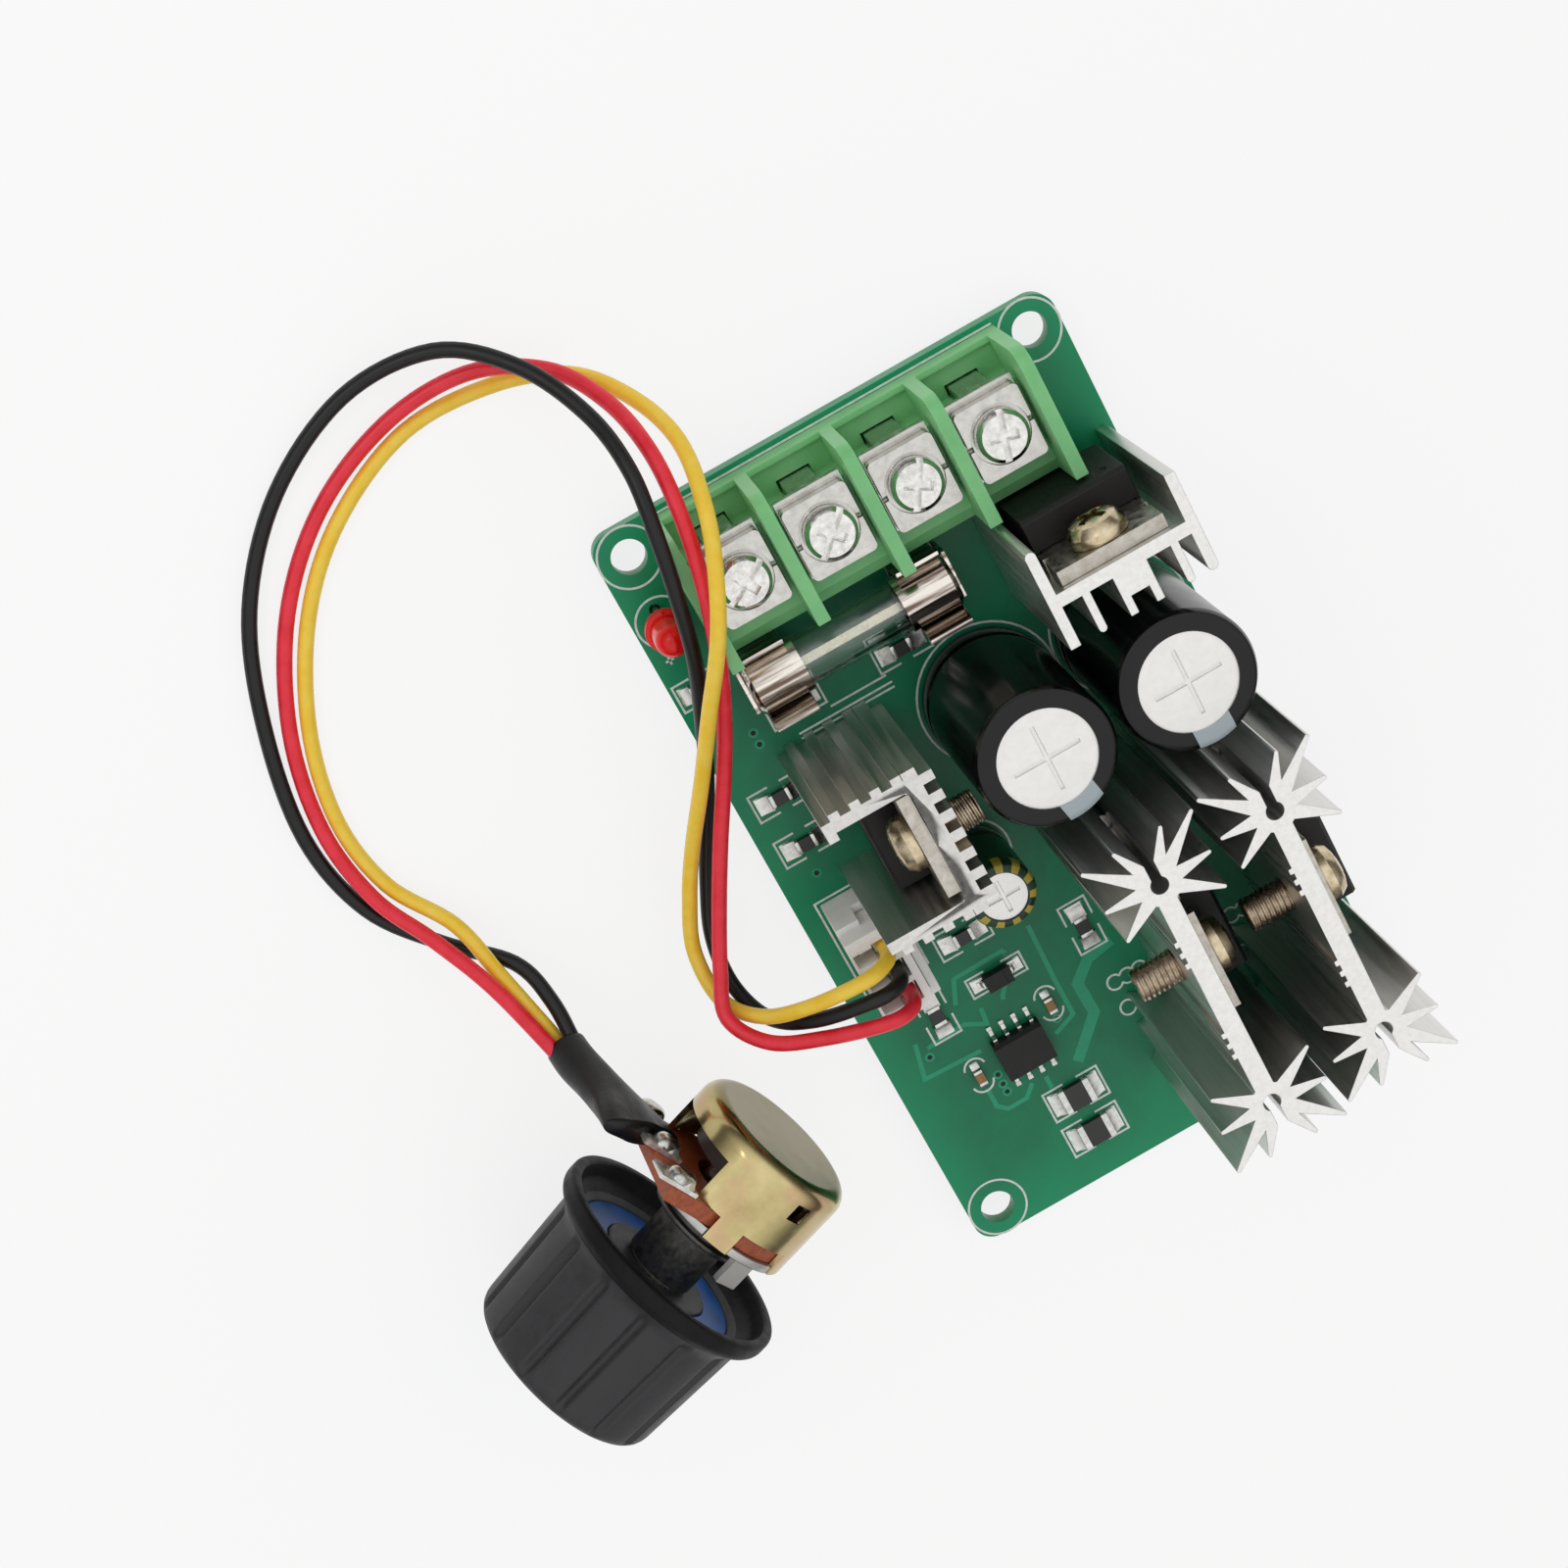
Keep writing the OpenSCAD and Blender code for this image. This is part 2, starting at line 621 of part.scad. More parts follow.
// Clip: a bent strip with two spring leaves, an end stop and two board pins
module clip_profile() {
    half = fuse_cap_r + clip_gap;
    translate([-half - clip_t, 0]) square([2 * (half + clip_t), clip_base_h]);
    for (s = [0, 1]) mirror([s, 0]) polygon([[half, 0], [half, clip_h - clip_flare_h],
        [half + clip_flare, clip_h], [half + clip_flare + clip_t, clip_h],
        [half + clip_t, clip_h - clip_flare_h], [half + clip_t, 0]]);
}
module fuse_clip(s) {
    half = fuse_cap_r + clip_gap;
    translate([clip_x(s), fuse_y, top]) {
        translate([-clip_w / 2, 0, 0]) across() linear_extrude(clip_w) clip_profile();
        translate([s * (clip_inset + slip + clip_t / 2), 0, 0]) block(clip_t, 2 * fuse_glass_r, clip_stop_h);
        translate([s * (clip_inset + slip) / 2, 0, 0]) block(clip_inset + slip, 2 * fuse_glass_r, clip_base_h);
        for (t = [-1, 1]) translate([0, t * (half + clip_t / 2), -board_t]) block(clip_pin_w, clip_t, board_t);
    }
}

module fuse_clips() { color("silver") for (s = [-1, 1]) fuse_clip(s); }

// Indicator lamp: flanged lens with a dome, over a cup and a post
module lamp_lens() {
    body = lamp_h - lamp_base_h - lamp_d / 2;
    color("red", 0.8) translate([lamp_x, lamp_y, top + lamp_base_h]) difference() {
        union() {
            cylinder(r = lamp_flange_r, h = lamp_flange_h);
            cylinder(r = lamp_d / 2, h = body);
            translate([0, 0, body]) intersection() {
                sphere(lamp_d / 2);
                cylinder(r = lamp_d, h = lamp_d);
            }
        }
        translate([0, -lamp_cup_r / 2, -over]) cylinder(r = lamp_cup_r + slip, h = lamp_cup_h + over + slip);
        translate([0, lamp_wire_gap / 2 + lamp_post_r, -over])
            cylinder(r = lamp_post_r + slip, h = lamp_post_h + over + slip, $fn = 24);
    }
}
module lamp_leads() {
    color("silver") translate([lamp_x, lamp_y, top + lamp_base_h]) {
        translate([0, -lamp_cup_r / 2, 0]) cylinder(r = lamp_cup_r, h = lamp_cup_h);
        translate([0, lamp_wire_gap / 2 + lamp_post_r, 0]) cylinder(r = lamp_post_r, h = lamp_post_h, $fn = 24);
        for (s = [-1, 1]) {
            translate([0, s * lamp_lead_gap / 2, -top - lamp_base_h])
                block(2 * lamp_lead_r, 2 * lamp_lead_r, top + lamp_base_h);
            translate([0, s * lamp_lead_gap / 3, -2 * lamp_lead_r])
                block(2 * lamp_lead_r, lamp_lead_gap / 3 + 2 * lamp_lead_r, 2 * lamp_lead_r);
        }
    }
}

// Capacitor: can with a rolled groove and a scored top, shrink sleeve, rubber seal
module cap_can(d, h) {
    r = d / 2 - sleeve_t;
    difference() {
        rotate_extrude() polygon([[0, cap_seal_h], [r - cap_lip, cap_seal_h], [r, cap_seal_h + cap_lip],
            [r, cap_crimp_place], [r - cap_crimp_depth, cap_crimp_place + cap_crimp_depth],
            [r, cap_crimp_place + 2 * cap_crimp_depth], [r, h - cap_round - sleeve_t],
            [r - cap_round * 0.3, h - cap_round * 0.3 - sleeve_t], [r - cap_round, h - sleeve_t], [0, h - sleeve_t]]);
        for (a = [0, 90]) rotate(a) translate([0, 0, h - sleeve_t - cap_score_depth])
            block(d * cap_score_share, cap_score_w, cap_score_depth + over);
    }
}
module cap_sleeve(d, h) {
    r = d / 2;
    q = r - sleeve_t;
    rim = r * cap_rim_share;
    rotate_extrude() polygon([[q, cap_lip], [r, cap_lip], [r, cap_crimp_place],
        [r - cap_crimp_depth, cap_crimp_place + cap_crimp_depth], [r, cap_crimp_place + 2 * cap_crimp_depth],
        [r, h - cap_round], [r - cap_round * 0.3, h - cap_round * 0.3], [r - cap_round, h], [rim, h],
        [rim, h - sleeve_t], [q - cap_round, h - sleeve_t], [q - cap_round * 0.3, h - cap_round * 0.3 - sleeve_t],
        [q, h - cap_round - sleeve_t], [q, cap_crimp_place + 2 * cap_crimp_depth],
        [q - cap_crimp_depth, cap_crimp_place + cap_crimp_depth], [q, cap_crimp_place]]);
}
module cap_seal(d, gap) {
    difference() {
        cylinder(r = d / 2 - sleeve_t - cap_lip - slip, h = cap_seal_h);
        for (s = [-1, 1]) translate([0, s * gap / 2, -over])
            cylinder(r = cap_lead_r, h = cap_seal_h + 2 * over, $fn = 20);
    }
}
module at_large(i) { translate([large_cap_x[i], large_cap_y[i], top]) children(); }
module at_small() { translate([small_cap_x, small_cap_y, top]) children(); }
module large_cap_sleeves() { color("#1b1b1d") for (i = [0, 1]) at_large(i) cap_sleeve(large_cap_d, large_cap_h); }
module small_cap_sleeve() { color("#22402f") at_small() cap_sleeve(small_cap_d, small_cap_h); }
module cap_cans() {
    color("silver") {
        for (i = [0, 1]) at_large(i) cap_can(large_cap_d, large_cap_h);
        at_small() cap_can(small_cap_d, small_cap_h);
    }
}
module cap_seals() {
    color("#26262a") {
        for (i = [0, 1]) at_large(i) cap_seal(large_cap_d, large_cap_lead_gap);
        at_small() cap_seal(small_cap_d, small_cap_lead_gap);
    }
}
module cap_leads() {
    color("silver") for (p = cap_lead_places) translate([p[0], p[1], 0])
        cylinder(r = cap_lead_r, h = top + cap_seal_h, $fn = 20);
}

// Star-finned heat sink: two hubs with tapered fins, joined by a ridged web
module fin(tip) {
    a = atan2(tip[1], tip[0]);
    l = norm(tip) - fin_tip_t / 2;
    rotate(a) {
        polygon([[0, -fin_root_t / 2], [l, -fin_tip_t / 2], [l, fin_tip_t / 2], [0, fin_root_t / 2]]);
        translate([l, 0]) circle(fin_tip_t / 2, $fn = 16);
    }
}
module star_profile() {
    difference() {
        union() {
            for (m = [0, 1]) translate([0, -m * star_span]) mirror([0, m]) {
                circle(star_hub_r);
                for (t = fin_tip_shares) fin(t * star_span);
            }
            translate([-star_web_t / 2, -star_span]) square([star_web_t, star_span]);
            for (m = [0, 1], s = [-1, 0, 1])
                translate([-star_web_t / 2 - web_ridge_h / 2, -star_span / 2 + (m - 0.5) * (star_span - 2 * web_ridge_place)
                    + s * web_ridge_w - web_ridge_w / 4]) square([web_ridge_h, web_ridge_w / 2]);
        }
        for (m = [0, 1]) translate([0, -m * star_span]) mirror([0, m]) {
            circle(star_pin_r + run_gap);
            translate([-star_slot_w / 2, 0]) square([star_slot_w, star_hub_r + over]);
        }
    }
}
module star_sink(i) {
    color("silver") difference() {
        translate([star_x[i], star_y[i], top]) linear_extrude(star_h) star_profile();
        translate([star_x[i], transistor_y[i], hole_z]) rotate([0, 90, 0])
            cylinder(r = pack_screw_r + run_gap, h = 4 * star_web_t, center = true);
    }
}

// Winged heat sink: a plate between two wings, with fins and a grooved block behind it
module winged_profile() {
    translate([wing_x0, wing_y0]) square([wing_t, wing_y1 - wing_y0 - wing_t / 2]);
    translate([wing_x0 + wing_t / 2, wing_y1 - wing_t / 2]) circle(wing_t / 2, $fn = 24);
    translate([wing_x1 - wing_t, wing_y0 + wing_t / 2]) square([wing_t, wing_y1 - wing_y0 - wing_t / 2]);
    translate([wing_x1 - wing_t / 2, wing_y0 + wing_t / 2]) circle(wing_t / 2, $fn = 24);
    translate([wing_x0, wing_plate_y]) square([wing_x1 - wing_x0, wing_plate_t]);
    for (x = wing_fin_x) {
        translate([x - wing_fin_t / 2, wing_y0 + wing_fin_t / 2]) square([wing_fin_t, wing_plate_y - wing_y0]);
        translate([x, wing_y0 + wing_fin_t / 2]) circle(wing_fin_t / 2, $fn = 24);
    }
    difference() {
        translate([wing_block_x - wing_block_w / 2, wing_y0]) square([wing_block_w, wing_plate_y - wing_y0]);
        translate([wing_block_x - wing_notch_w / 2, wing_y0 - over]) square([wing_notch_w, wing_notch_depth + over]);
    }
}
module winged_sink() {
    color("silver") difference() {
        translate([0, 0, top]) linear_extrude(low_sink_h) winged_profile();
        translate([diode_x, wing_plate_y + wing_plate_t + over, hole_z]) rotate([90, 0, 0])
            cylinder(r = pack_screw_r + run_gap, h = wing_plate_t + over + wing_notch_depth);
    }
}

// Toothed heat sink: a U whose arms and web carry teeth on the outside
module toothed_profile() {
    l = tooth_y1 - tooth_y0;
    web_teeth = floor((l - tooth_w) / tooth_pitch);
    arm_teeth = floor((tooth_web_x - tooth_x0) / tooth_pitch);
    translate([tooth_web_x, tooth_y0]) square([tooth_web_t, l]);
    for (i = [0:web_teeth])
        translate([tooth_web_x, tooth_y0 + (l - web_teeth * tooth_pitch - tooth_w) / 2 + i * tooth_pitch])
            square([tooth_web_t + tooth_depth, tooth_w]);
    for (m = [0, 1]) translate([0, m * (tooth_y0 + tooth_y1)]) mirror([0, m]) {
        translate([tooth_x0, tooth_y0 + tooth_arm_depth])
            square([tooth_web_x - tooth_x0 + over, tooth_arm_t]);
        for (i = [0:arm_teeth - 1])
            translate([tooth_web_x - (i + 1) * tooth_pitch + tooth_w, tooth_y0])
                square([tooth_w, tooth_arm_depth + tooth_arm_t]);
        translate([tooth_web_x, tooth_y0 + tooth_arm_depth + tooth_arm_t])
            polygon([[over, -over], [-tooth_corner, -over], [-tooth_corner, 0], [0, tooth_corner], [over, tooth_corner]]);
    }
    translate([tooth_x0, tooth_y1 - tooth_arm_depth - tooth_arm_t - tooth_hook])
        square([tooth_w, tooth_hook + tooth_arm_t]);
}
module toothed_sink() {
    color("silver") difference() {
        translate([0, 0, top]) linear_extrude(low_sink_h) toothed_profile();
        translate([tooth_web_x - over, regulator_y, hole_z]) rotate([0, 90, 0])
            cylinder(r = pack_screw_r + run_gap, h = tooth_web_t + tooth_depth + 2 * over);
    }
}

// Solder pins driven into the hubs of the star-finned heat sinks
module sink_pins() {
    color("silver") for (p = star_pin_places) translate([p[0], p[1], 0])
        cylinder(r = star_pin_r, h = top + star_h / 3, $fn = 24);
}

// Power packages, drawn with the tab's back on y = 0, the face towards -y, and the leads below
module at_package(p) {
    translate([package_at[p][0], package_at[p][1], top + pack_base_h]) rotate(package_at[p][2])
        translate([0, -pack_seat, 0]) children();
}
module package_body(p) {
    at_package(p) difference() {
        translate([-pack_w / 2, 0, 0]) rotate([90, 0, 90]) linear_extrude(pack_w)
            polygon([[-slip, 0], [-pack_t + pack_draft, 0], [-pack_t, pack_draft], [-pack_t, pack_body_h - pack_draft],
                [-pack_t + pack_draft, pack_body_h], [-slip, pack_body_h]]);
        translate([-pack_w / 2 + tab_notch - slip, -tab_t - slip, over])
            cube([pack_w - 2 * tab_notch + 2 * slip, tab_t + slip + over, pack_body_h]);
        translate([-pack_w / 2 + 3 * pack_dot_r, -pack_t + pack_dot_depth, pack_body_h - 3 * pack_dot_r])
            rotate([90, 0, 0]) cylinder(r = pack_dot_r, h = over);
    }
}
module transistors() { color("#1c1c1e") for (p = [0, 1]) package_body(p); }
module power_diode() { color("#1c1c1e") package_body(2); }
module regulator() { color("#1c1c1e") package_body(3); }
module package_tabs() {
    color("silver") for (p = [0:3]) at_package(p) difference() {
        union() {
            translate([-pack_w / 2 + tab_notch, -tab_t, over + slip])
                cube([pack_w - 2 * tab_notch, tab_t, pack_body_h + tab_shoulder]);
            translate([-pack_w / 2, -tab_t, pack_body_h + tab_shoulder])
                cube([pack_w, tab_t, tab_h - tab_shoulder]);
        }
        translate([0, over, pack_body_h + tab_h - tab_hole_drop]) rotate([90, 0, 0])
            cylinder(r = tab_hole_r, h = tab_t + 2 * over);
        for (s = [-1, 1]) translate([s * pack_w / 2, over, pack_body_h + tab_shoulder + tab_h / 3])
            rotate([90, 0, 0]) cylinder(r = tab_notch, h = tab_t + 2 * over, $fn = 24);
    }
}
module package_leads() {
    color("silver") for (p = [0:3], s = [-1, 0, 1]) at_package(p) translate([s * lead_pitch, -lead_place, 0]) {
        translate([0, 0, -top - pack_base_h]) block(lead_w, lead_t, top + pack_base_h);
        translate([0, 0, -lead_neck_h]) block(lead_neck_w, lead_t, lead_neck_h);
    }
}

// Mounting screws through the tabs into tapped webs, with their ends standing out behind
module at_hole(p) { at_package(p) translate([0, 0, pack_body_h + tab_h - tab_hole_drop]) rotate([90, 0, 0]) children(); }
screw_reach = [star_web_t + screw_stub, star_web_t + screw_stub, wing_plate_t + wing_notch_depth - over,
    tooth_web_t + tooth_depth + short_stub];
module package_screws() {
    color("silver") for (p = [0:3]) at_hole(p) difference() {
        union() {
            translate([0, 0, tab_t + slip]) rotate_extrude() polygon([[0, 0], [screw_head_r, 0],
                [screw_head_r, screw_head_h * 0.45], [screw_head_r * 0.8, screw_head_h * 0.85],
                [screw_head_r * 0.5, screw_head_h], [0, screw_head_h]]);
            translate([0, 0, -screw_reach[p]]) cylinder(r = pack_screw_r, h = screw_reach[p] + tab_t + 2 * slip);
        }
        for (a = [0, 90]) rotate(a + 20 * p)
            translate([0, 0, tab_t + slip + screw_head_h - screw_cross_depth])
                block(screw_head_r * 1.15, screw_cross_w, screw_cross_depth + over);
    }
}

// Connector header: an open box with a slot in each end and two in its outer wall
module header() {
    color("white") translate([plug_x, pin_y, top]) difference() {
        block(header_w, header_l, header_h);
        translate([0, 0, header_floor_h])
            block(header_w - 2 * header_wall, header_l - 2 * header_wall, header_h);
        for (s = [-1, 1]) translate([-header_w / 2, s * pin_pitch, header_floor_h + header_wall])
            block(3 * header_wall, header_slot_w, header_h);
        translate([0, 0, header_floor_h + 2 * header_wall]) block(header_slot_w, header_l + over, header_h);
        for (s = [-1, 0, 1]) translate([pin_x - plug_x, s * pin_pitch, -over])
            block(pin_w + run_gap, pin_w + run_gap, header_floor_h + 2 * over);
    }
}
module header_pins() {
    color("goldenrod") for (p = header_lead_places) translate([p[0], p[1], 0])
        block(pin_w, pin_w, top + pin_h);
}

// Plug housing: fits the header, with three square cavities open at the top and a window to each
module plug() {
    inner_w = header_w - 2 * header_wall - 2 * plug_gap;
    inner_l = header_l - 2 * header_wall - 2 * plug_gap;
    color("white") translate([plug_x, pin_y, top]) difference() {
        union() {
            translate([0, 0, header_floor_h + slip]) block(inner_w, inner_l, plug_top_h - header_floor_h - slip);
            translate([-(header_w - inner_w) / 4, 0, header_h + slip])
                block(header_w - (header_w - inner_w) / 2, header_l - 2 * plug_gap - header_wall, plug_lip_h - slip);
            for (s = [-1, 1]) translate([-inner_w / 2, s * pin_pitch, header_floor_h + 2 * header_wall])
                block(2 * plug_rib_h, plug_rib_w, header_h - header_floor_h);
        }
        for (s = [-1, 0, 1]) translate([pin_x - plug_x, s * pin_pitch, 0]) {
            translate([0, 0, header_floor_h - over]) block(plug_cavity_w, plug_cavity_w, plug_top_h);
            translate([-plug_cavity_w, 0, plug_top_h - plug_window_h])
                block(plug_cavity_w, plug_window_w, plug_window_h + over);
        }
    }
}
module crimp_contacts() {
    color("goldenrod") for (p = header_lead_places) translate([p[0], p[1], top]) difference() {
        translate([0, 0, crimp_base_h]) block(crimp_w, crimp_w, crimp_top_h - crimp_base_h);
        translate([0, 0, 0]) block(crimp_w - 2 * crimp_wall, crimp_w - 2 * crimp_wall, pin_h + crimp_wall);
    }
}

// Chip parts
module chip_places(kind) {
    half = [board_w / 2, board_l / 2];
    if (kind == "r_large") for (p = r_large_shares)
        translate([p[0] * half[0], p[1] * half[1], top + chip_seat]) children();
    if (kind == "r_small") {
        for (p = r_small_places) translate([p[0], p[1], top + chip_seat]) children();
        for (p = r_small_turned_shares)
            translate([p[0] * half[0], p[1] * half[1], top + chip_seat]) rotate(90) children();
    }
    if (kind == "c_small") for (p = c_small_turned_shares)
        translate([p[0] * half[0], p[1] * half[1], top + chip_seat]) rotate(90) children();
}
module chip_middle(s) { block(s[0] * (1 - 2 * chip_end_share), s[1], s[2]); }
module chip_end_pair(s) {
    e = s[0] * chip_end_share;
    for (m = [-1, 1]) translate([m * (s[0] - e) / 2, 0, 0]) block(e, s[1], s[2]);
}
module chip_solder_pair(s) {
    for (m = [0, 1]) mirror([m, 0, 0]) {
        translate([s[0] / 2, s[1] / 2, -chip_seat]) rotate([90, 0, 0]) linear_extrude(s[1])
            polygon([[0, 0], [chip_solder_l, 0], [chip_solder_l / 2, chip_solder_h / 2], [0, chip_solder_h]]);
        translate([s[0] / 2 - s[0] * chip_end_share / 2, 0, -chip_seat])
            block(s[0] * chip_end_share, s[1], chip_seat);
    }
}
module chip_resistors() {
    color("#202022") {
        chip_places("r_large") chip_middle(r_large);
        chip_places("r_small") chip_middle(r_small);
    }
}
module chip_capacitors() { color("#b0854f") chip_places("c_small") chip_middle(c_small); }
module chip_ends() {
    color("silver") {
        chip_places("r_large") chip_end_pair(r_large);
        chip_places("r_small") chip_end_pair(r_small);
        chip_places("c_small") chip_end_pair(c_small);
    }
}
module chip_solder() {
    color("silver") {
        chip_places("r_large") chip_solder_pair(r_large);
        chip_places("r_small") chip_solder_pair(r_small);
        chip_places("c_small") chip_solder_pair(c_small);
        at_driver() for (i = [0:3], m = [0, 1]) mirror([0, m, 0])
            translate([(i - 1.5) * driver_pitch, driver_toe + driver_lead_t, 0])
                block(driver_lead_w + 2 * chip_seat, 2 * driver_lead_t, driver_lead_t);
    }
}
module at_driver() { translate([driver_shares[0] * board_w / 2, driver_shares[1] * board_l / 2, top]) children(); }
module at_small_diode() { translate([diode_chip_shares[0] * board_w / 2, diode_chip_shares[1] * board_l / 2, top]) children(); }
module small_diode() {
    color("#1c1c1e") at_small_diode() difference() {
        translate([0, 0, driver_lift]) block(diode_chip[0], diode_chip[1], diode_chip[2]);
        translate([diode_chip[0] / 2 - 2 * driver_chamfer, -diode_chip[1], driver_lift + diode_chip[2] - chip_seat])
            cube([driver_chamfer, 2 * diode_chip[1], over]);
    }
}
module driver_chip() {
    color("#1c1c1e") at_driver() difference() {
        translate([-driver[0] / 2, 0, driver_lift]) rotate([90, 0, 90]) linear_extrude(driver[0])
            polygon([[-driver[1] / 2, 0], [driver[1] / 2, 0], [driver[1] / 2, driver[2] - driver_chamfer],
                [driver[1] / 2 - driver_chamfer, driver[2]], [-driver[1] / 2, driver[2]]]);
        translate([-driver[0] / 2 + 2 * driver_dot_r, -driver[1] / 2 + 2 * driver_dot_r, driver_lift + driver[2] - chip_seat])
            cylinder(r = driver_dot_r, h = over);
    }
}
module gull_lead(reach, w, shoulder_h, body_half) {
    bend = max((reach + body_half) / 2, body_half + 2 * driver_lead_t + slip);
    translate([w / 2, 0, 0]) rotate([90, 0, -90]) linear_extrude(w) polygon([[-reach, 0], [-reach, driver_lead_t],
        [-bend, driver_lead_t], [-bend + driver_lead_t, shoulder_h], [-body_half, shoulder_h],
        [-body_half, shoulder_h - driver_lead_t], [-bend + 2 * driver_lead_t, shoulder_h - driver_lead_t],
        [-bend + driver_lead_t, 0]]);
}
module driver_leads() {
    color("silver") {
        at_driver() for (i = [0:3], m = [0, 1]) mirror([0, m, 0]) translate([(i - 1.5) * driver_pitch, 0, 0])
            gull_lead(driver_toe, driver_lead_w, driver_lift + driver[2] / 2, driver[1] / 2);
        at_small_diode() for (m = [0, 1]) mirror([m, 0, 0]) rotate(-90)
            gull_lead(diode_chip[0] / 2 + diode_lead_l, diode_lead_w, driver_lift + diode_chip[2] / 2, diode_chip[0] / 2);
    }
}

// Wires: a tube swept along its route, with rings square to the path
function unit(v) = v / norm(v);
function along(p, i) = unit(p[min(i + 1, len(p) - 1)] - p[max(i - 1, 0)]);
module tube(route, r) {
    n = len(route);
    rings = [for (i = [0:n - 1]) let (t = along(route, i), u = unit(cross(t, tube_ref)), v = cross(t, u))
        for (k = [0:tube_sides - 1]) route[i] + r * (cos(360 * k / tube_sides) * u + sin(360 * k / tube_sides) * v)];
    sides = [for (i = [0:n - 2], k = [0:tube_sides - 1]) let (a = i * tube_sides + k,
        b = i * tube_sides + (k + 1) % tube_sides) each [[a, b, b + tube_sides], [a, b + tube_sides, a + tube_sides]]];
    ends = concat([for (k = [1:tube_sides - 2]) [0, k + 1, k]],
        [for (k = [1:tube_sides - 2]) [(n - 1) * tube_sides, (n - 1) * tube_sides + k, (n - 1) * tube_sides + k + 1]]);
    polyhedron(rings, concat(sides, ends));
}
module wire_black() { color("#202022") tube(black_route, wire_r); }
module wire_red() { color("#d8222f") tube(red_route, wire_r); }
module wire_yellow() { color("#e5b52b") tube(yellow_route, wire_r); }

// The head's own frame: z from the knob's open end towards the case, y along the lugs
module head() { translate([head_x, head_y, head_z]) rotate([0, 90 - head_rise, head_turn]) rotate(head_roll) children(); }

// Heat-shrink sleeve: round over the wires, flattening into a fan over the three lugs
module heat_shrink() {
    n = len(sleeve_route);
    last = [0, -1, 0];
    rings = [for (i = [0:n - 1]) let (t = i == n - 1 ? last : along(sleeve_route, i), v = [0, 0, 1], u = unit(cross(v, t)))
        for (k = [0:sleeve_sides - 1]) sleeve_route[i] + sleeve_long[i] * cos(360 * k / sleeve_sides) * u
            + sleeve_short[i] * sin(360 * k / sleeve_sides) * cross(t, u)];
    sides = [for (i = [0:n - 2], k = [0:sleeve_sides - 1]) let (a = i * sleeve_sides + k,
        b = i * sleeve_sides + (k + 1) % sleeve_sides)
        each [[a, b, b + sleeve_sides], [a, b + sleeve_sides, a + sleeve_sides]]];
    ends = concat([for (k = [1:sleeve_sides - 2]) [0, k + 1, k]],
        [for (k = [1:sleeve_sides - 2])
            [(n - 1) * sleeve_sides, (n - 1) * sleeve_sides + k, (n - 1) * sleeve_sides + k + 1]]);
    color("#202022") head() polyhedron(rings, concat(sides, ends));
}

// Potentiometer case: a drawn cup with a lug window, a punched slot and four crimped legs
module pot_case() {
    r = pot_case_d / 2;
    color("#b5a978") head() translate([0, 0, case_z]) difference() {
        union() {
            rotate_extrude() translate([r - case_round, pot_case_h - case_round]) polygon(concat(
                [[case_round - r, case_round]], [for (a = [90:-15:0]) case_round * [cos(a), sin(a)]],
                [[case_round, case_round - pot_case_h], [case_round - case_wall, case_round - pot_case_h]],
                [for (a = [0:30:90]) (case_round - case_wall) * [cos(a), sin(a)]],
                [[case_round - r, case_round - case_wall]]));
            intersection() {
                translate([0, 0, -wafer_t - plate_t]) difference() {
                    cylinder(r = r, h = wafer_t + plate_t + over);
                    translate([0, 0, -over]) cylinder(r = r - case_wall, h = wafer_t + plate_t + 3 * over);
                }
                for (a = case_leg_turns) rotate(a) translate([r, 0, -wafer_t - plate_t])
                    block(r, case_leg_w, wafer_t + plate_t + over);
            }
        }
        translate([0, r, -over]) block(case_window_w, r, case_window_h + over);
        rotate(tab_turn) translate([-r, 0, punch_z]) block(r / 2, punch_w, punch_h);
    }
}

// Wafer with its tongue for the lugs, and the front plate with its locating tab
module pot_wafer() {
    color("#9a4a22") head() translate([0, 0, wafer_z + slip]) linear_extrude(wafer_t - 2 * slip) difference() {
        union() {
            circle(wafer_r);
            translate([-wafer_tongue_w / 2, 0]) square([wafer_tongue_w, wafer_tongue]);
        }
        circle(shaft_r + 2 * clip_t);
    }
}
module pot_lugs() {
    color("silver") head() for (s = [-1, 0, 1]) translate([s * lug_pitch, 0, case_z]) {
        translate([0, (lug_root + lug_end) / 2, 0]) block(lug_w, lug_end - lug_root, lug_t);
        translate([0, rivet_place, lug_t]) rotate_extrude($fn = 24) polygon([[0, 0], [rivet_r, 0],
            [rivet_r * 0.7, rivet_h * 0.8], [0, rivet_h]]);
    }
}
module pot_bushing() {
    color("#5b5b58") head() difference() {
        union() {
            translate([0, 0, -bushing_end]) cylinder(r = bushing_r, h = plate_z + bushing_end);
            translate([0, 0, washer_z]) cylinder(r = washer_big_r, h = washer_t);
            translate([0, 0, boss_z]) cylinder(r = boss_r, h = plate_z - boss_z);
            translate([0, 0, plate_z]) cylinder(r = plate_r, h = plate_t);
            rotate(tab_turn) translate([-plate_r + tab_thick / 2 + case_wall, 0, plate_z - tab_l])
                block(tab_thick, tab_w, tab_l + plate_t);
        }
        translate([0, 0, -bushing_end - over])
            cylinder(r = shaft_r + run_gap, h = plate_z + plate_t + bushing_end + 2 * over);
        for (a = case_leg_turns) rotate(a)
            translate([plate_r + case_wall, 0, plate_z - over])
                block(2 * (plate_r + 2 * case_wall + slip - pot_case_d / 2), case_leg_w + 2 * slip, plate_t + 2 * over);
    }
}

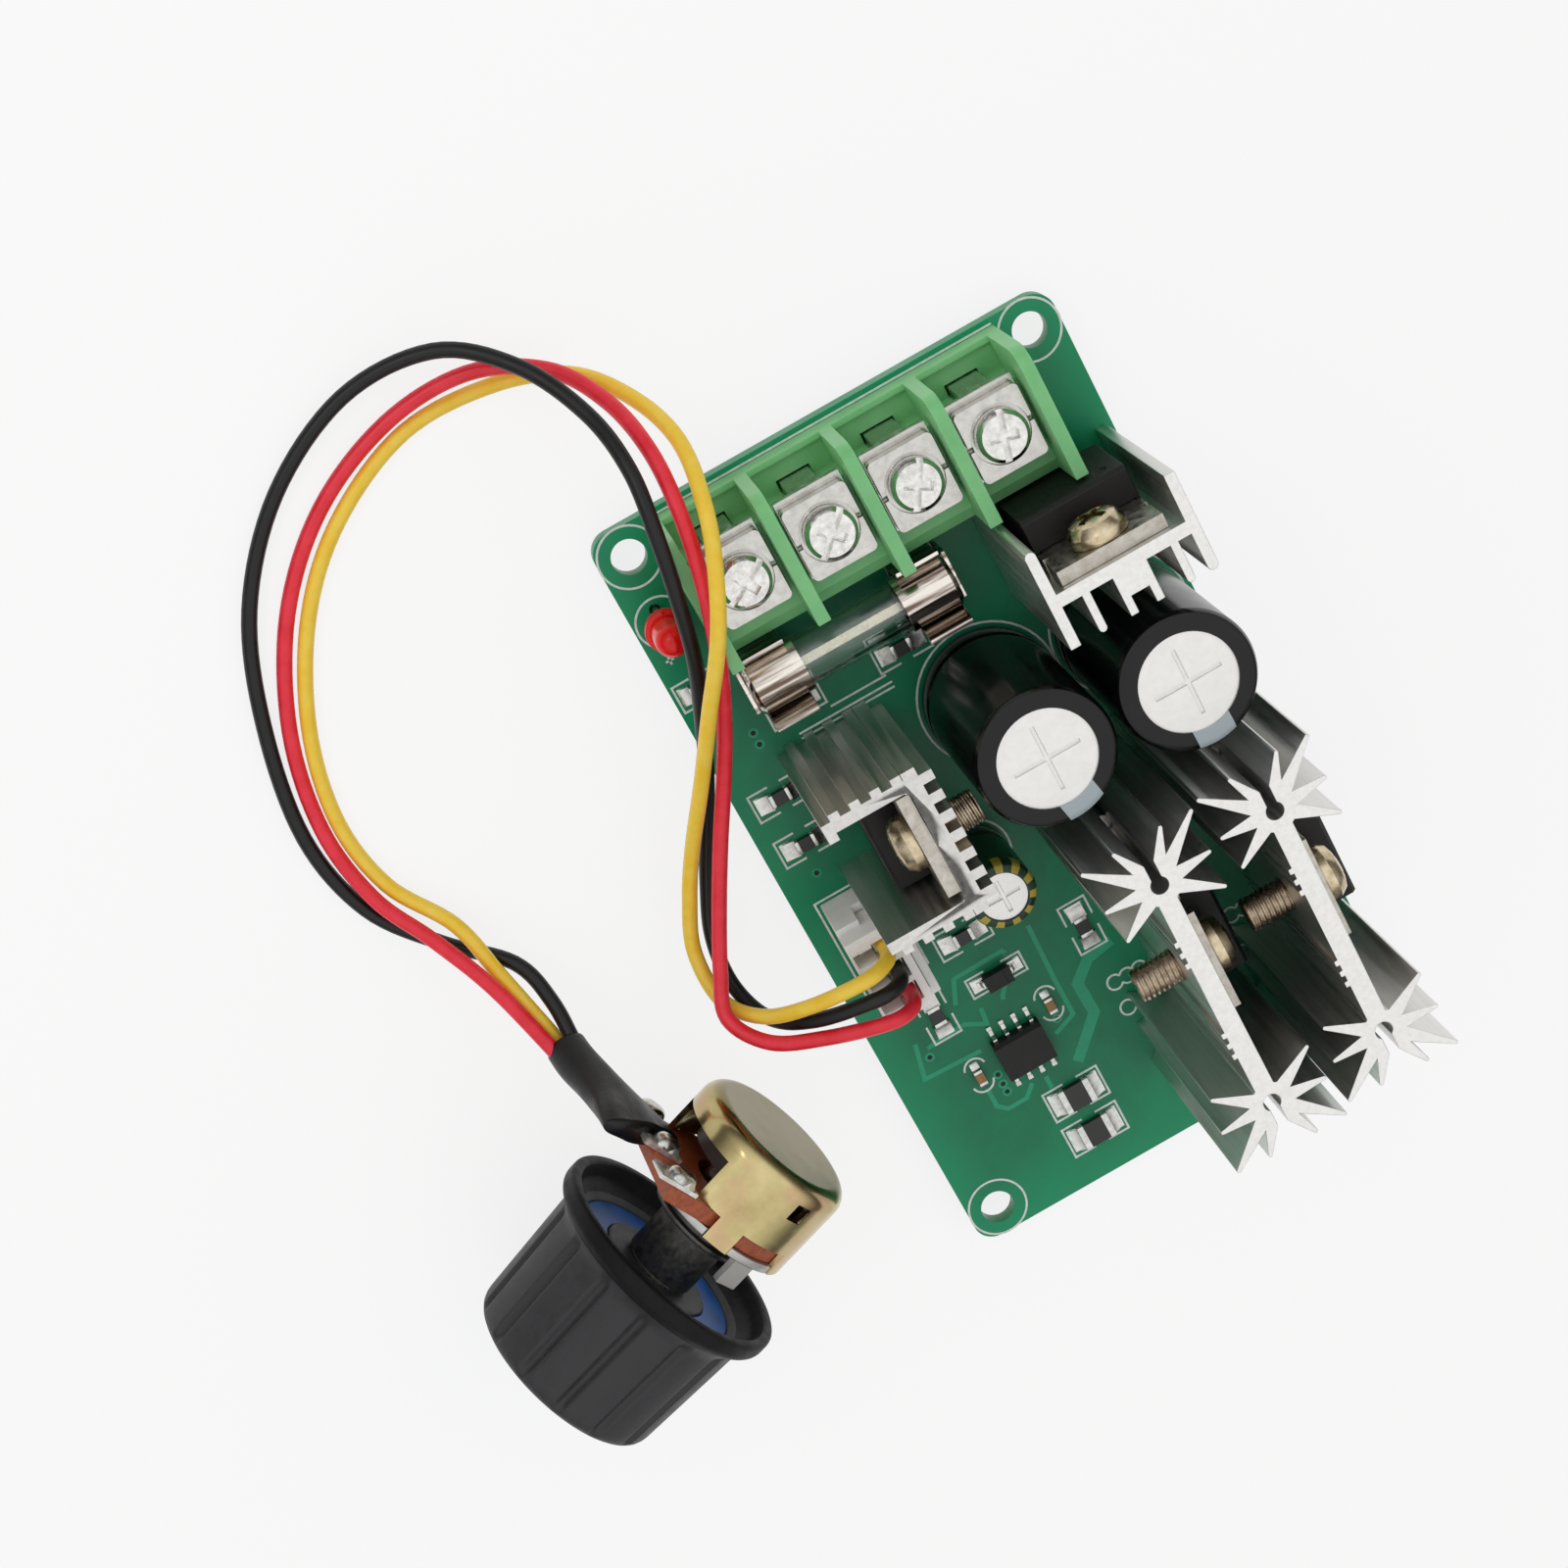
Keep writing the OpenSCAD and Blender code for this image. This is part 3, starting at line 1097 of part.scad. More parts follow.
// Shaft with a slotted end, and the rotor with its wiper inside the case
module pot_shaft() {
    color("#cfcfca") head() {
        difference() {
            translate([0, 0, -shaft_end]) cylinder(r = shaft_r, h = shaft_end + case_z + rotor_z + rotor_t);
            translate([0, 0, -shaft_end - over]) block(shaft_slot_w, 2 * shaft_r + over, shaft_slot_l + over);
        }
    }
}
module pot_rotor() {
    color("#c9c2a8") head() difference() {
        union() {
            translate([0, 0, case_z + rotor_z]) cylinder(r = rotor_r, h = rotor_t);
            translate([0, -rotor_r / 2 - over, case_z + rotor_z - wiper_t])
                block(wiper_w, rotor_r / 2, wiper_t + over);
        }
        translate([0, 0, case_z]) cylinder(r = shaft_r + knob_fit, h = 2 * (rotor_z + rotor_t));
    }
}

// Knob: a fluted shell with a hub, and a coloured insert round the hub and in the crown
module knob_shell() {
    floor_z = -knob_l + knob_cap_t;
    lean = atan((knob_body_r - knob_crown_r) / (knob_l - knob_flange_h - knob_shoulder_h - knob_crown_round));
    color("#232325") head() difference() {
        rotate_extrude($fn = 96) polygon([[knob_flange_r - knob_mouth_wall, 0], [knob_flange_r, 0],
            [knob_flange_r, -knob_flange_h], [knob_body_r, -knob_flange_h - knob_shoulder_h],
            [knob_crown_r, -knob_l + knob_crown_round],
            [knob_crown_r - knob_crown_round * 0.3, -knob_l + knob_crown_round * 0.3],
            [knob_crown_r - knob_crown_round, -knob_l], [knob_cap_r + slip, -knob_l],
            [knob_cap_r + slip, floor_z], [shaft_r + knob_fit, floor_z], [shaft_r + knob_fit, -knob_hub_drop],
            [knob_hub_r, -knob_hub_drop], [knob_hub_r, floor_z + knob_floor_t],
            [knob_cavity_r, floor_z + knob_floor_t], [knob_cavity_r, -knob_insert_top],
            [knob_flange_r - knob_mouth_wall - knob_groove_r, -knob_flange_h]]);
        for (k = [0:knob_grooves - 1]) rotate(360 * k / knob_grooves)
            translate([knob_body_r + knob_groove_sink, 0, -knob_flange_h - knob_shoulder_h])
                rotate([0, 180 + lean, 0]) cylinder(r = knob_groove_r, h = knob_l, $fn = 16);
    }
}
module knob_insert() {
    floor_z = -knob_l + knob_cap_t;
    color("#2068b0") head() {
        translate([0, 0, floor_z + knob_floor_t]) difference() {
            cylinder(r = knob_cavity_r - knob_fit, h = -knob_insert_top - floor_z - knob_floor_t);
            translate([0, 0, -over]) cylinder(r = knob_hub_r + knob_fit, h = knob_l);
        }
    }
}
module knob_cap() {
    color("#2068b0") head() difference() {
        translate([0, 0, -knob_l - knob_cap_proud]) cylinder(r = knob_cap_r, h = knob_cap_t + knob_cap_proud);
        translate([0, knob_cap_r / 2, -knob_l - knob_cap_proud - over])
            block(knob_mark_w, knob_cap_r, over + knob_cap_proud);
    }
}

board();
solder_joints();
chip_solder();
terminal_body();
terminal_contacts();
clamp_plate(0);  // clamp_plate_1
clamp_plate(1);  // clamp_plate_2
clamp_plate(2);  // clamp_plate_3
clamp_plate(3);  // clamp_plate_4
clamp_screw(0);  // terminal_screw_1
clamp_screw(1);  // terminal_screw_2
clamp_screw(2);  // terminal_screw_3
clamp_screw(3);  // terminal_screw_4
fuse_glass();
fuse_caps();
fuse_element();
fuse_clips();
lamp_lens();
lamp_leads();
large_cap_sleeves();
small_cap_sleeve();
cap_cans();
cap_seals();
cap_leads();
star_sink(0);  // star_sink_1
star_sink(1);  // star_sink_2
winged_sink();
toothed_sink();
sink_pins();
transistors();
power_diode();
regulator();
package_tabs();
package_leads();
package_screws();
header();
header_pins();
plug();
crimp_contacts();
chip_resistors();
chip_capacitors();
chip_ends();
small_diode();
driver_chip();
driver_leads();
wire_black();
wire_red();
wire_yellow();
heat_shrink();
pot_case();
pot_wafer();
pot_lugs();
pot_bushing();
pot_shaft();
pot_rotor();
knob_shell();
knob_insert();
knob_cap();
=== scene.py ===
import json
import math
import bmesh
import bpy
import numpy as np
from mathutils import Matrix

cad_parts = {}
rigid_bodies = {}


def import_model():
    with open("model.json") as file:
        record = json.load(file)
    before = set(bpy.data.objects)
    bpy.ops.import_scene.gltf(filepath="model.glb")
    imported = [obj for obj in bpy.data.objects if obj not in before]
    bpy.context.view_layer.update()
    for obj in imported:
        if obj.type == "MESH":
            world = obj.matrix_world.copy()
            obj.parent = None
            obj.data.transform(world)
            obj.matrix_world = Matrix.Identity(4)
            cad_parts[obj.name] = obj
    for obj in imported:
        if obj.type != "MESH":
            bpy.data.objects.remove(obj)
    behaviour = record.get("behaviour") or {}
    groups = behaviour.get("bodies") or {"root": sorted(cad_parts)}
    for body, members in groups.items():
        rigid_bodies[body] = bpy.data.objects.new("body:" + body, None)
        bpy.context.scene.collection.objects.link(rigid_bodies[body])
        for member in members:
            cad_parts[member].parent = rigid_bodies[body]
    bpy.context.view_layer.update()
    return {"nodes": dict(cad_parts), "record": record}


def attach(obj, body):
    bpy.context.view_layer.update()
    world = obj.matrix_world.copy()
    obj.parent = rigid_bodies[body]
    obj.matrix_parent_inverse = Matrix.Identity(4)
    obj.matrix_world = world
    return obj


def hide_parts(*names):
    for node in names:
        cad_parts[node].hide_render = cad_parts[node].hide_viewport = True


for leftover in list(bpy.data.objects):
    bpy.data.objects.remove(leftover)
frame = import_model()
mm = 0.001
record = frame["record"]
bodyOfNode = {node: body for body, nodes in record["behaviour"]["bodies"].items() for node in nodes}
print("frame loaded:", len(frame["nodes"]), "nodes")

# the photograph's camera: place in mm, turn in degrees, lens and sensor in mm, clip in metres
photoCamera = {"place": (-20.2215, 106.1647, 254.9118), "turn": (-17.813, -10.4223, -27.8812), "lens": 70.18,
               "sensor": 36, "clip": (0.01, 5)}
camera = bpy.data.objects.new("photoCamera", bpy.data.cameras.new("photoCamera"))
camera.data.lens, camera.data.sensor_width = photoCamera["lens"], photoCamera["sensor"]
camera.location = [v * mm for v in photoCamera["place"]]
camera.rotation_euler = [math.radians(v) for v in photoCamera["turn"]]
camera.data.clip_start, camera.data.clip_end = photoCamera["clip"]
bpy.context.scene.collection.objects.link(camera)
bpy.context.scene.camera = camera


# a tone written in sRGB, turned to linear light by the standard's own curve
def toLinear(hexColour):
    channels = np.array([int(hexColour[i:i + 2], 16) for i in (1, 3, 5)]) / 255
    linear = np.where(channels <= 0.04045, channels / 12.92, ((channels + 0.055) / 1.055) ** 2.4)
    return (float(linear[0]), float(linear[1]), float(linear[2]), 1.0)


def addNode(tree, kind, settings=None, links=None):
    node = tree.nodes.new("ShaderNode" + kind)
    for key, value in (settings or {}).items():
        if isinstance(key, str) and hasattr(node, key):
            setattr(node, key, value)
        else:
            node.inputs[key].default_value = value
    for key, source in (links or {}).items():
        tree.links.new(source, node.inputs[key])
    return node


def placeIn(tree):
    return addNode(tree, "TexCoord").outputs["Object"]


def axesOf(tree, vector):
    return addNode(tree, "SeparateXYZ", None, {0: vector}).outputs


# a value carried from one range, low to high, to another, bottom to top
def ramp(tree, value, low, high, bottom=0.0, top=1.0, **settings):
    limits = {**settings, "From Min": low, "From Max": high, "To Min": bottom, "To Max": top}
    return addNode(tree, "MapRange", limits, {"Value": value}).outputs["Result"]


# the noise in every finish
noise = {"detail": 5, "roughness": 0.6, "bumpDetail": 3, "bumpStrength": 0.6}


# one finish: two colours that a cloudy grain runs between, a roughness range, and a fine bump of a size, a height
# and a strength; grain and bump sizes are in mm, and stretch draws the grain out along an axis
def finish(name, tones, rough, grain=3, bump=None, stretch=(1, 1, 1), contrast=(0.35, 0.65), **sockets):
    material = bpy.data.materials.new(name)
    material.use_nodes = True
    tree = material.node_tree
    tree.nodes.clear()
    drawn = addNode(tree, "Mapping", {"Scale": stretch}, {"Vector": placeIn(tree)}).outputs["Vector"]
    cloud = addNode(tree, "TexNoise", {"Scale": 1 / (grain * mm), "Detail": noise["detail"],
                                       "Roughness": noise["roughness"]}, {"Vector": drawn}).outputs["Fac"]
    tone = addNode(tree, "Mix", {"data_type": "RGBA"}, {0: ramp(tree, cloud, *contrast)})
    tone.inputs[6].default_value, tone.inputs[7].default_value = toLinear(tones[0]), toLinear(tones[1])
    shader = addNode(tree, "BsdfPrincipled", {k.replace("_", " "): v for k, v in sockets.items()},
                     {"Base Color": tone.outputs[2], "Roughness": ramp(tree, cloud, *contrast, *rough)})
    shader.name, tone.name = "shader", "tone"
    if bump:
        size, height = bump[:2]
        strength = bump[2] if len(bump) > 2 else noise["bumpStrength"]
        pits = {"Scale": 1 / (size * mm), "Detail": noise["bumpDetail"]}
        pitted = addNode(tree, "TexNoise", pits, {"Vector": drawn}).outputs["Fac"]
        relief = addNode(tree, "Bump", {"Strength": strength, "Distance": height * mm}, {"Height": pitted})
        tree.links.new(relief.outputs["Normal"], shader.inputs["Normal"])
    addNode(tree, "OutputMaterial", None, {"Surface": shader.outputs["BSDF"]})
    return material


# glass-fibre laminate under green solder mask: a glassy coat over a faint cloud of weave
solderMask = finish("greenSolderMask", ("#08704c", "#0d8058"), (0.3, 0.4), 5, (0.35, 0.004, 0.3),
                    Specular_IOR_Level=0.35)
# the same mask over copper, which shows through a little paler
maskedCopper = finish("maskedCopper", ("#1f9a70", "#27a279"), (0.26, 0.36), 2, (0.3, 0.004, 0.3),
                      Specular_IOR_Level=0.35)
# screen-printed white epoxy ink, thin at its edges
printedInk = finish("screenPrintedInk", ("#cfd8d2", "#eef1ee"), (0.55, 0.7), 0.5)
# tin-lead solder, drawn smooth by its own surface tension
solder = finish("reflowedSolder", ("#b4b4b0", "#d8d8d4"), (0.18, 0.34), 0.6, (0.3, 0.01, 0.4), Metallic=1.0)
# polyamide, injection moulded and slightly cloudy, so light goes a little way in
greenPolyamide = finish("mouldedGreenPolyamide", ("#7cc684", "#8ad08f"), (0.34, 0.46), 4, (0.25, 0.008, 0.4),
                        Subsurface_Weight=0.3, Subsurface_Scale=0.002, Subsurface_Radius=(0.45, 1.0, 0.5))
# nickel-plated steel, tumbled: bright with a fine satin
nickelSteel = finish("tumbledNickelPlate", ("#bab8b2", "#d2d0cb"), (0.16, 0.3), 0.9, (0.14, 0.008, 0.5), Metallic=1.0)
# nickel-plated brass, drawn and pressed: a warm mirror; painted reflection: dark brown bands streaked along the fuse
# stand in for the dark surroundings it mirrors
nickelBrass = finish("nickelBrassPaintedBands", ("#6a5a4e", "#e6dfd6"), (0.08, 0.18), 0.9, (0.8, 0.004, 0.3), (0.06, 1, 1),
                     (0.4, 0.55), Metallic=1.0)
# barrel-plated screw heads: bright, with small dents that glint
barrelNickel = finish("barrelPlatedNickel", ("#c6c5c1", "#e9e7e3"), (0.1, 0.2), 0.7, (0.5, 0.06, 0.7), Metallic=1.0)
# lugs flooded with solder
floodedLug = finish("solderFloodedLug", ("#cfccc5", "#efece8"), (0.3, 0.46), 0.7, (0.5, 0.06, 0.6), Metallic=0.8)
# screw heads of the power parts, passivated to a warm tone
warmSteel = finish("passivatedSteel", ("#b3a180", "#dccdb0"), (0.16, 0.3), 0.9, (0.14, 0.008, 0.5), Metallic=1.0)
# rolled thread, brown from its plating bath
rolledSteel = finish("rolledThread", ("#937f6a", "#c4b39c"), (0.2, 0.32), 0.6, (0.1, 0.006, 0.5), Metallic=1.0)
# tinned phosphor bronze
tinnedBronze = finish("tinnedBronze", ("#c4bda8", "#ded8c6"), (0.2, 0.34), 0.8, (0.2, 0.005, 0.4), Metallic=1.0)
# soda-lime tube
fuseGlass = finish("drawnGlassTube", ("#f2f8f7", "#ffffff"), (0.02, 0.05), 4, None, Transmission_Weight=1.0, IOR=1.5)
# extruded aluminium: die lines run with the height, bright sawn ends
extrudedAluminium = finish("extrudedAluminium", ("#dad9d6", "#e8e7e4"), (0.3, 0.42), 0.5, (0.1, 0.006, 0.5),
                           (1, 1, 0.03), Metallic=1.0)
# the same alloy, sawn coarser
sawnAluminium = finish("sawnAluminium", ("#c6c4c0", "#d9d7d3"), (0.32, 0.46), 0.5, (0.1, 0.01, 0.6), (1, 1, 0.03),
                       Metallic=1.0)
# spun aluminium can top, matt from its pressing
canAluminium = finish("pressedCanAluminium", ("#e6e4e1", "#f0eeeb"), (0.4, 0.5), 1.2, (0.1, 0.004, 0.5), Metallic=0.8)
# heat-shrunk PVC film, thin and glossy
blackSleeve = finish("blackShrinkFilm", ("#070708", "#0e0e0f"), (0.16, 0.24), 3, (1.5, 0.01, 0.4),
                     Specular_IOR_Level=0.32)
greenSleeve = finish("darkGreenShrinkFilm", ("#14301f", "#1d4229"), (0.18, 0.26), 3, (1.2, 0.01, 0.4),
                     Specular_IOR_Level=0.4)
# butyl bung
bungRubber = finish("butylRubber", ("#161617", "#222223"), (0.7, 0.85), 0.8, (0.2, 0.01))
# glass-filled epoxy, transfer moulded: matt with a fine sparkle
epoxyMoulding = finish("transferMouldedEpoxy", ("#121110", "#1b1a19"), (0.42, 0.58), 0.4, (0.09, 0.012, 0.6),
                       Specular_IOR_Level=0.34)
# tinned copper tab, dull from its bath
tinnedCopper = finish("tinnedCopperTab", ("#a8a297", "#c9c4bb"), (0.26, 0.42), 0.9, (0.2, 0.006, 0.5), Metallic=1.0)
# white polyamide
whitePolyamide = finish("mouldedWhitePolyamide", ("#f4f2f0", "#fbfaf8"), (0.36, 0.46), 2.5, (0.25, 0.006, 0.4),
                        Subsurface_Weight=0.2, Subsurface_Scale=0.001, Subsurface_Radius=(1.0, 0.9, 0.8))
# alumina chip with a dark glaze on top
chipGlaze = finish("glazedChip", ("#141413", "#20201e"), (0.3, 0.42), 0.6, (0.1, 0.004, 0.4))
# barium titanate ceramic, fired
tanCeramic = finish("firedCeramic", ("#8f6a42", "#a87f52"), (0.5, 0.62), 0.4, (0.08, 0.006, 0.5))
# PVC insulation, extruded: waxy and soft in the light
blackPvc = finish("blackPvc", ("#101011", "#181819"), (0.34, 0.44), 2, (0.6, 0.01, 0.4), Specular_IOR_Level=0.34)
redPvc = finish("redPvc", ("#ea192e", "#f52f44"), (0.32, 0.42), 2, (0.6, 0.01, 0.4), Subsurface_Weight=0.1,
                Subsurface_Scale=0.0006)
yellowPvc = finish("yellowPvc", ("#fccf2e", "#ffdb50"), (0.32, 0.42), 2, (0.6, 0.01, 0.4), Subsurface_Weight=0.1,
                   Subsurface_Scale=0.0006)
# cross-linked polyolefin sleeve, shrunk over the joints
shrinkTube = finish("shrunkPolyolefin", ("#0e0e0f", "#161617"), (0.36, 0.48), 1.5, (0.7, 0.05, 0.5),
                    Specular_IOR_Level=0.34)
# yellow passivated zinc on drawn steel: brassy, with clouds of green and pink
yellowZinc = finish("yellowPassivatedZinc", ("#a89a68", "#d0c08f"), (0.15, 0.26), 7, (0.4, 0.004, 0.3), Metallic=1.0)
# phenolic paper laminate, punched
phenolicBoard = finish("punchedPhenolic", ("#93401f", "#b25a31"), (0.36, 0.5), 0.5, (0.12, 0.015, 0.6))
# zinc alloy, die cast and dulled
castZinc = finish("dieCastZinc", ("#4b4a48", "#63615e"), (0.34, 0.5), 0.6, (0.1, 0.008, 0.5), Metallic=0.9)
# turned steel, a grey satin
turnedShaft = finish("turnedShaft", ("#9c9a95", "#bbb9b4"), (0.22, 0.36), 0.5, (0.1, 0.006, 0.5), Metallic=1.0)
# ABS from a spark-eroded mould: satin with a fine grain
sparkedAbs = finish("sparkErodedAbs", ("#222224", "#2d2d30"), (0.46, 0.58), 1.2, (0.16, 0.03, 0.8),
                    Specular_IOR_Level=0.5)
blueAbs = finish("blueAbs", ("#0d4f9c", "#1763b6"), (0.3, 0.4), 1.5, (0.3, 0.006, 0.4), Specular_IOR_Level=0.25)
darkAcetal = finish("darkAcetal", ("#2b1d17", "#38261e"), (0.4, 0.5), 1.5, (0.3, 0.006, 0.4))
# tinted epoxy lens
redEpoxy = finish("redTintedEpoxy", ("#e20a0a", "#f21414"), (0.1, 0.16), 2, None, Subsurface_Weight=0.5,
                  Subsurface_Scale=0.001, Subsurface_Radius=(1.0, 0.2, 0.15), Specular_IOR_Level=0.35)


# a number worked out in a material from outputs or plain numbers
def calc(tree, operation, *values):
    node = addNode(tree, "Math", {"operation": operation})
    for slot, value in enumerate(values):
        if isinstance(value, (int, float)):
            node.inputs[slot].default_value = value
        else:
            tree.links.new(value, node.inputs[slot])
    return node.outputs[0]


# lays one more tone over a finish where the mask is 1
def overlaid(material, mask, tone):
    tree = material.node_tree
    mixed = addNode(tree, "Mix", {"data_type": "RGBA"}, {0: mask, 6: tree.nodes["tone"].outputs[2]})
    mixed.inputs[7].default_value = toLinear(tone)
    tree.links.new(mixed.outputs[2], tree.nodes["shader"].inputs["Base Color"])
    tree.nodes["tone"].name, mixed.name = "under", "tone"


# the board's routed edge shows the bare laminate between the two masks; painted light: the mask is painted paler
# towards the board's outer edges and darker in its middle, where the tall parts shade it
boardLook = {"halfWidth": 22.6, "halfLength": 39, "upright": 0.4, "laminate": "#4d8a5c",
             "paler": (0.8, 1.0, 0.0, 0.75), "edgeLightTone": "#0f9a68"}
tree = solderMask.node_tree
facing = axesOf(tree, addNode(tree, "NewGeometry").outputs["Normal"])["Z"]
routed = calc(tree, "LESS_THAN", calc(tree, "ABSOLUTE", facing), boardLook["upright"])
overlaid(solderMask, routed, boardLook["laminate"])
axes = axesOf(tree, placeIn(tree))
# painted light: the mask turns paler towards the board's outer edges
edge = calc(tree, "MAXIMUM", calc(tree, "DIVIDE", calc(tree, "ABSOLUTE", axes["X"]), boardLook["halfWidth"] * mm),
            calc(tree, "DIVIDE", calc(tree, "ABSOLUTE", axes["Y"]), boardLook["halfLength"] * mm))
overlaid(solderMask, ramp(tree, edge, *boardLook["paler"]), boardLook["edgeLightTone"])


# where a point lies from an upright axis at x and y, how far from it, and how high
def fromAxis(tree, x, y):
    axes = axesOf(tree, placeIn(tree))
    dx, dy = calc(tree, "SUBTRACT", axes["X"], x * mm), calc(tree, "SUBTRACT", axes["Y"], y * mm)
    far = calc(tree, "SQRT", calc(tree, "ADD", calc(tree, "MULTIPLY", dx, dx), calc(tree, "MULTIPLY", dy, dy)))
    return dx, dy, far, axes["Z"]


# a pale stripe down each large sleeve, on the side at the given angle, with short dark bars in it
largeSleeves = {"caps": [(2.1, 9.1, -79), (15.4, 8.8, -88)], "reach": 7, "stripe": 1.75, "tone": "#b4c0c6",
                "bar": 0.3, "barEvery": 5, "barLength": 2.4, "barTop": 20.5, "barTone": "#26282a"}
tree = blackSleeve.node_tree
for x, y, toward in largeSleeves["caps"]:
    dx, dy, far, level = fromAxis(tree, x, y)
    c, s = math.cos(math.radians(toward)), math.sin(math.radians(toward))
    along = calc(tree, "ADD", calc(tree, "MULTIPLY", dx, c), calc(tree, "MULTIPLY", dy, s))
    across = calc(tree, "SUBTRACT", calc(tree, "MULTIPLY", dy, c), calc(tree, "MULTIPLY", dx, s))
    across = calc(tree, "ABSOLUTE", across)
    own = calc(tree, "LESS_THAN", far, largeSleeves["reach"] * mm)
    own = calc(tree, "MULTIPLY", own, calc(tree, "GREATER_THAN", along, 0.0))
    stripe = calc(tree, "MULTIPLY", own, calc(tree, "LESS_THAN", across, largeSleeves["stripe"] * mm))
    place = calc(tree, "MODULO", level, largeSleeves["barEvery"] * mm)
    bar = calc(tree, "MULTIPLY", calc(tree, "LESS_THAN", across, largeSleeves["bar"] * mm),
               calc(tree, "LESS_THAN", place, largeSleeves["barLength"] * mm))
    bar = calc(tree, "MULTIPLY", bar, calc(tree, "LESS_THAN", level, largeSleeves["barTop"] * mm))
    overlaid(blackSleeve, stripe, largeSleeves["tone"])
    overlaid(blackSleeve, calc(tree, "MULTIPLY", stripe, bar), largeSleeves["barTone"])

# a broken yellow print round the small sleeve's top
smallSleeve = {"cap": (-6, -3.9), "dashes": 11.0, "gap": 0.1, "from": 10.9, "outside": 2.3, "tone": "#b9a53a"}
tree = greenSleeve.node_tree
dx, dy, far, level = fromAxis(tree, *smallSleeve["cap"])
turn = calc(tree, "MULTIPLY", calc(tree, "ARCTAN2", dy, dx), smallSleeve["dashes"])
dash = calc(tree, "GREATER_THAN", calc(tree, "SINE", turn), smallSleeve["gap"])
band = calc(tree, "MULTIPLY", calc(tree, "GREATER_THAN", level, smallSleeve["from"] * mm),
            calc(tree, "GREATER_THAN", far, smallSleeve["outside"] * mm))
overlaid(greenSleeve, calc(tree, "MULTIPLY", dash, band), smallSleeve["tone"])

# the head's own frame: z from the knob's open end towards the potentiometer, y along its lugs; it lies on its flange
head = {"rise": 4.4, "turn": 20.5, "roll": 14, "lowest": -1.45, "flange": 11.8}
head["place"] = (-46.7, -18.9, head["lowest"] + head["flange"] * math.cos(math.radians(head["rise"])))


def turnAbout(axis, degrees):
    c, s = math.cos(math.radians(degrees)), math.sin(math.radians(degrees))
    i, j = [(1, 2), (2, 0), (0, 1)]["xyz".index(axis)]
    matrix = np.eye(3)
    matrix[i, i], matrix[i, j], matrix[j, i], matrix[j, j] = c, -s, s, c
    return matrix


headTurn = turnAbout("z", head["turn"]) @ turnAbout("y", 90 - head["rise"]) @ turnAbout("z", head["roll"])
headAxis = headTurn[:, 2].tolist()


def fromHead(points):
    return np.asarray(points, float) @ headTurn.T + np.array(head["place"])


# how far a point of the head lies along its axis, and how far from it
def headDistances(tree):
    start = [v * mm for v in head["place"]]
    offset = addNode(tree, "VectorMath", {"operation": "SUBTRACT", 1: start}, {0: placeIn(tree)}).outputs[0]
    along = addNode(tree, "VectorMath", {"operation": "DOT_PRODUCT", 1: headAxis}, {0: offset}).outputs["Value"]
    square = addNode(tree, "VectorMath", {"operation": "CROSS_PRODUCT", 1: headAxis}, {0: offset}).outputs[0]
    return along, addNode(tree, "VectorMath", {"operation": "LENGTH"}, {0: square}).outputs["Value"]


# painted shade: the knob's open rim is painted darker than its fluted side, and its specular level is lowered
rimShadeLook = {"from": -2.2, "tone": "#0a0a0b", "specular": 0.5, "duller": 0.3}
tree = sparkedAbs.node_tree
rim = calc(tree, "GREATER_THAN", headDistances(tree)[0], rimShadeLook["from"] * mm)
overlaid(sparkedAbs, rim, rimShadeLook["tone"])
specular = calc(tree, "SUBTRACT", rimShadeLook["specular"], calc(tree, "MULTIPLY", rim, rimShadeLook["duller"]))
tree.links.new(specular, tree.nodes["shader"].inputs["Specular IOR Level"])
# the front plate and its tab are brighter than the bushing
plateLook = {"outside": 5.2, "tone": "#bdbbb7"}
tree = castZinc.node_tree
overlaid(castZinc, calc(tree, "GREATER_THAN", headDistances(tree)[1], plateLook["outside"] * mm), plateLook["tone"])
# the drawn case has pink clouds from its passivation all over; painted shade: its flat back, facing along the axis, is
# painted a dull dark olive, standing in for the dim surroundings it reflects
caseCloudsAndShade = {"cloud": 4, "detail": 3, "cloudy": (0.5, 0.68, 0.0, 0.55), "pink": "#c3977c",
            "back": (0.6, 0.98), "backShadeTone": "#786d45"}
tree = yellowZinc.node_tree
cloud = {"Scale": 1 / (caseCloudsAndShade["cloud"] * mm), "Detail": caseCloudsAndShade["detail"]}
clouds = addNode(tree, "TexNoise", cloud, {"Vector": placeIn(tree)}).outputs["Fac"]
overlaid(yellowZinc, ramp(tree, clouds, *caseCloudsAndShade["cloudy"]), caseCloudsAndShade["pink"])
normal = addNode(tree, "NewGeometry").outputs["Normal"]
outward = addNode(tree, "VectorMath", {"operation": "DOT_PRODUCT", 1: headAxis}, {0: normal}).outputs["Value"]
# painted shade: dark olive on the faces turned along the axis
overlaid(yellowZinc, ramp(tree, outward, *caseCloudsAndShade["back"]), caseCloudsAndShade["backShadeTone"])
print("finishes made")


def riding(piece, body, nodes=()):
    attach(piece, body)
    if nodes:
        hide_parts(*nodes)
    return piece


# a mesh object from points in mm and lists of faces; normals are made to point outwards
def makePiece(name, points, faces, material, body, nodes=(), smooth=True):
    mesh = bpy.data.meshes.new(name)
    mesh.from_pydata((np.asarray(points, float) * mm).tolist(), [], [list(map(int, f)) for f in faces])
    mesh.polygons.foreach_set("use_smooth", np.full(len(mesh.polygons), smooth))
    work = bmesh.new()
    work.from_mesh(mesh)
    bmesh.ops.recalc_face_normals(work, faces=work.faces)
    work.to_mesh(mesh)
    work.free()
    mesh.materials.append(material)
    piece = bpy.data.objects.new(name, mesh)
    bpy.context.scene.collection.objects.link(piece)
    return riding(piece, body, nodes)


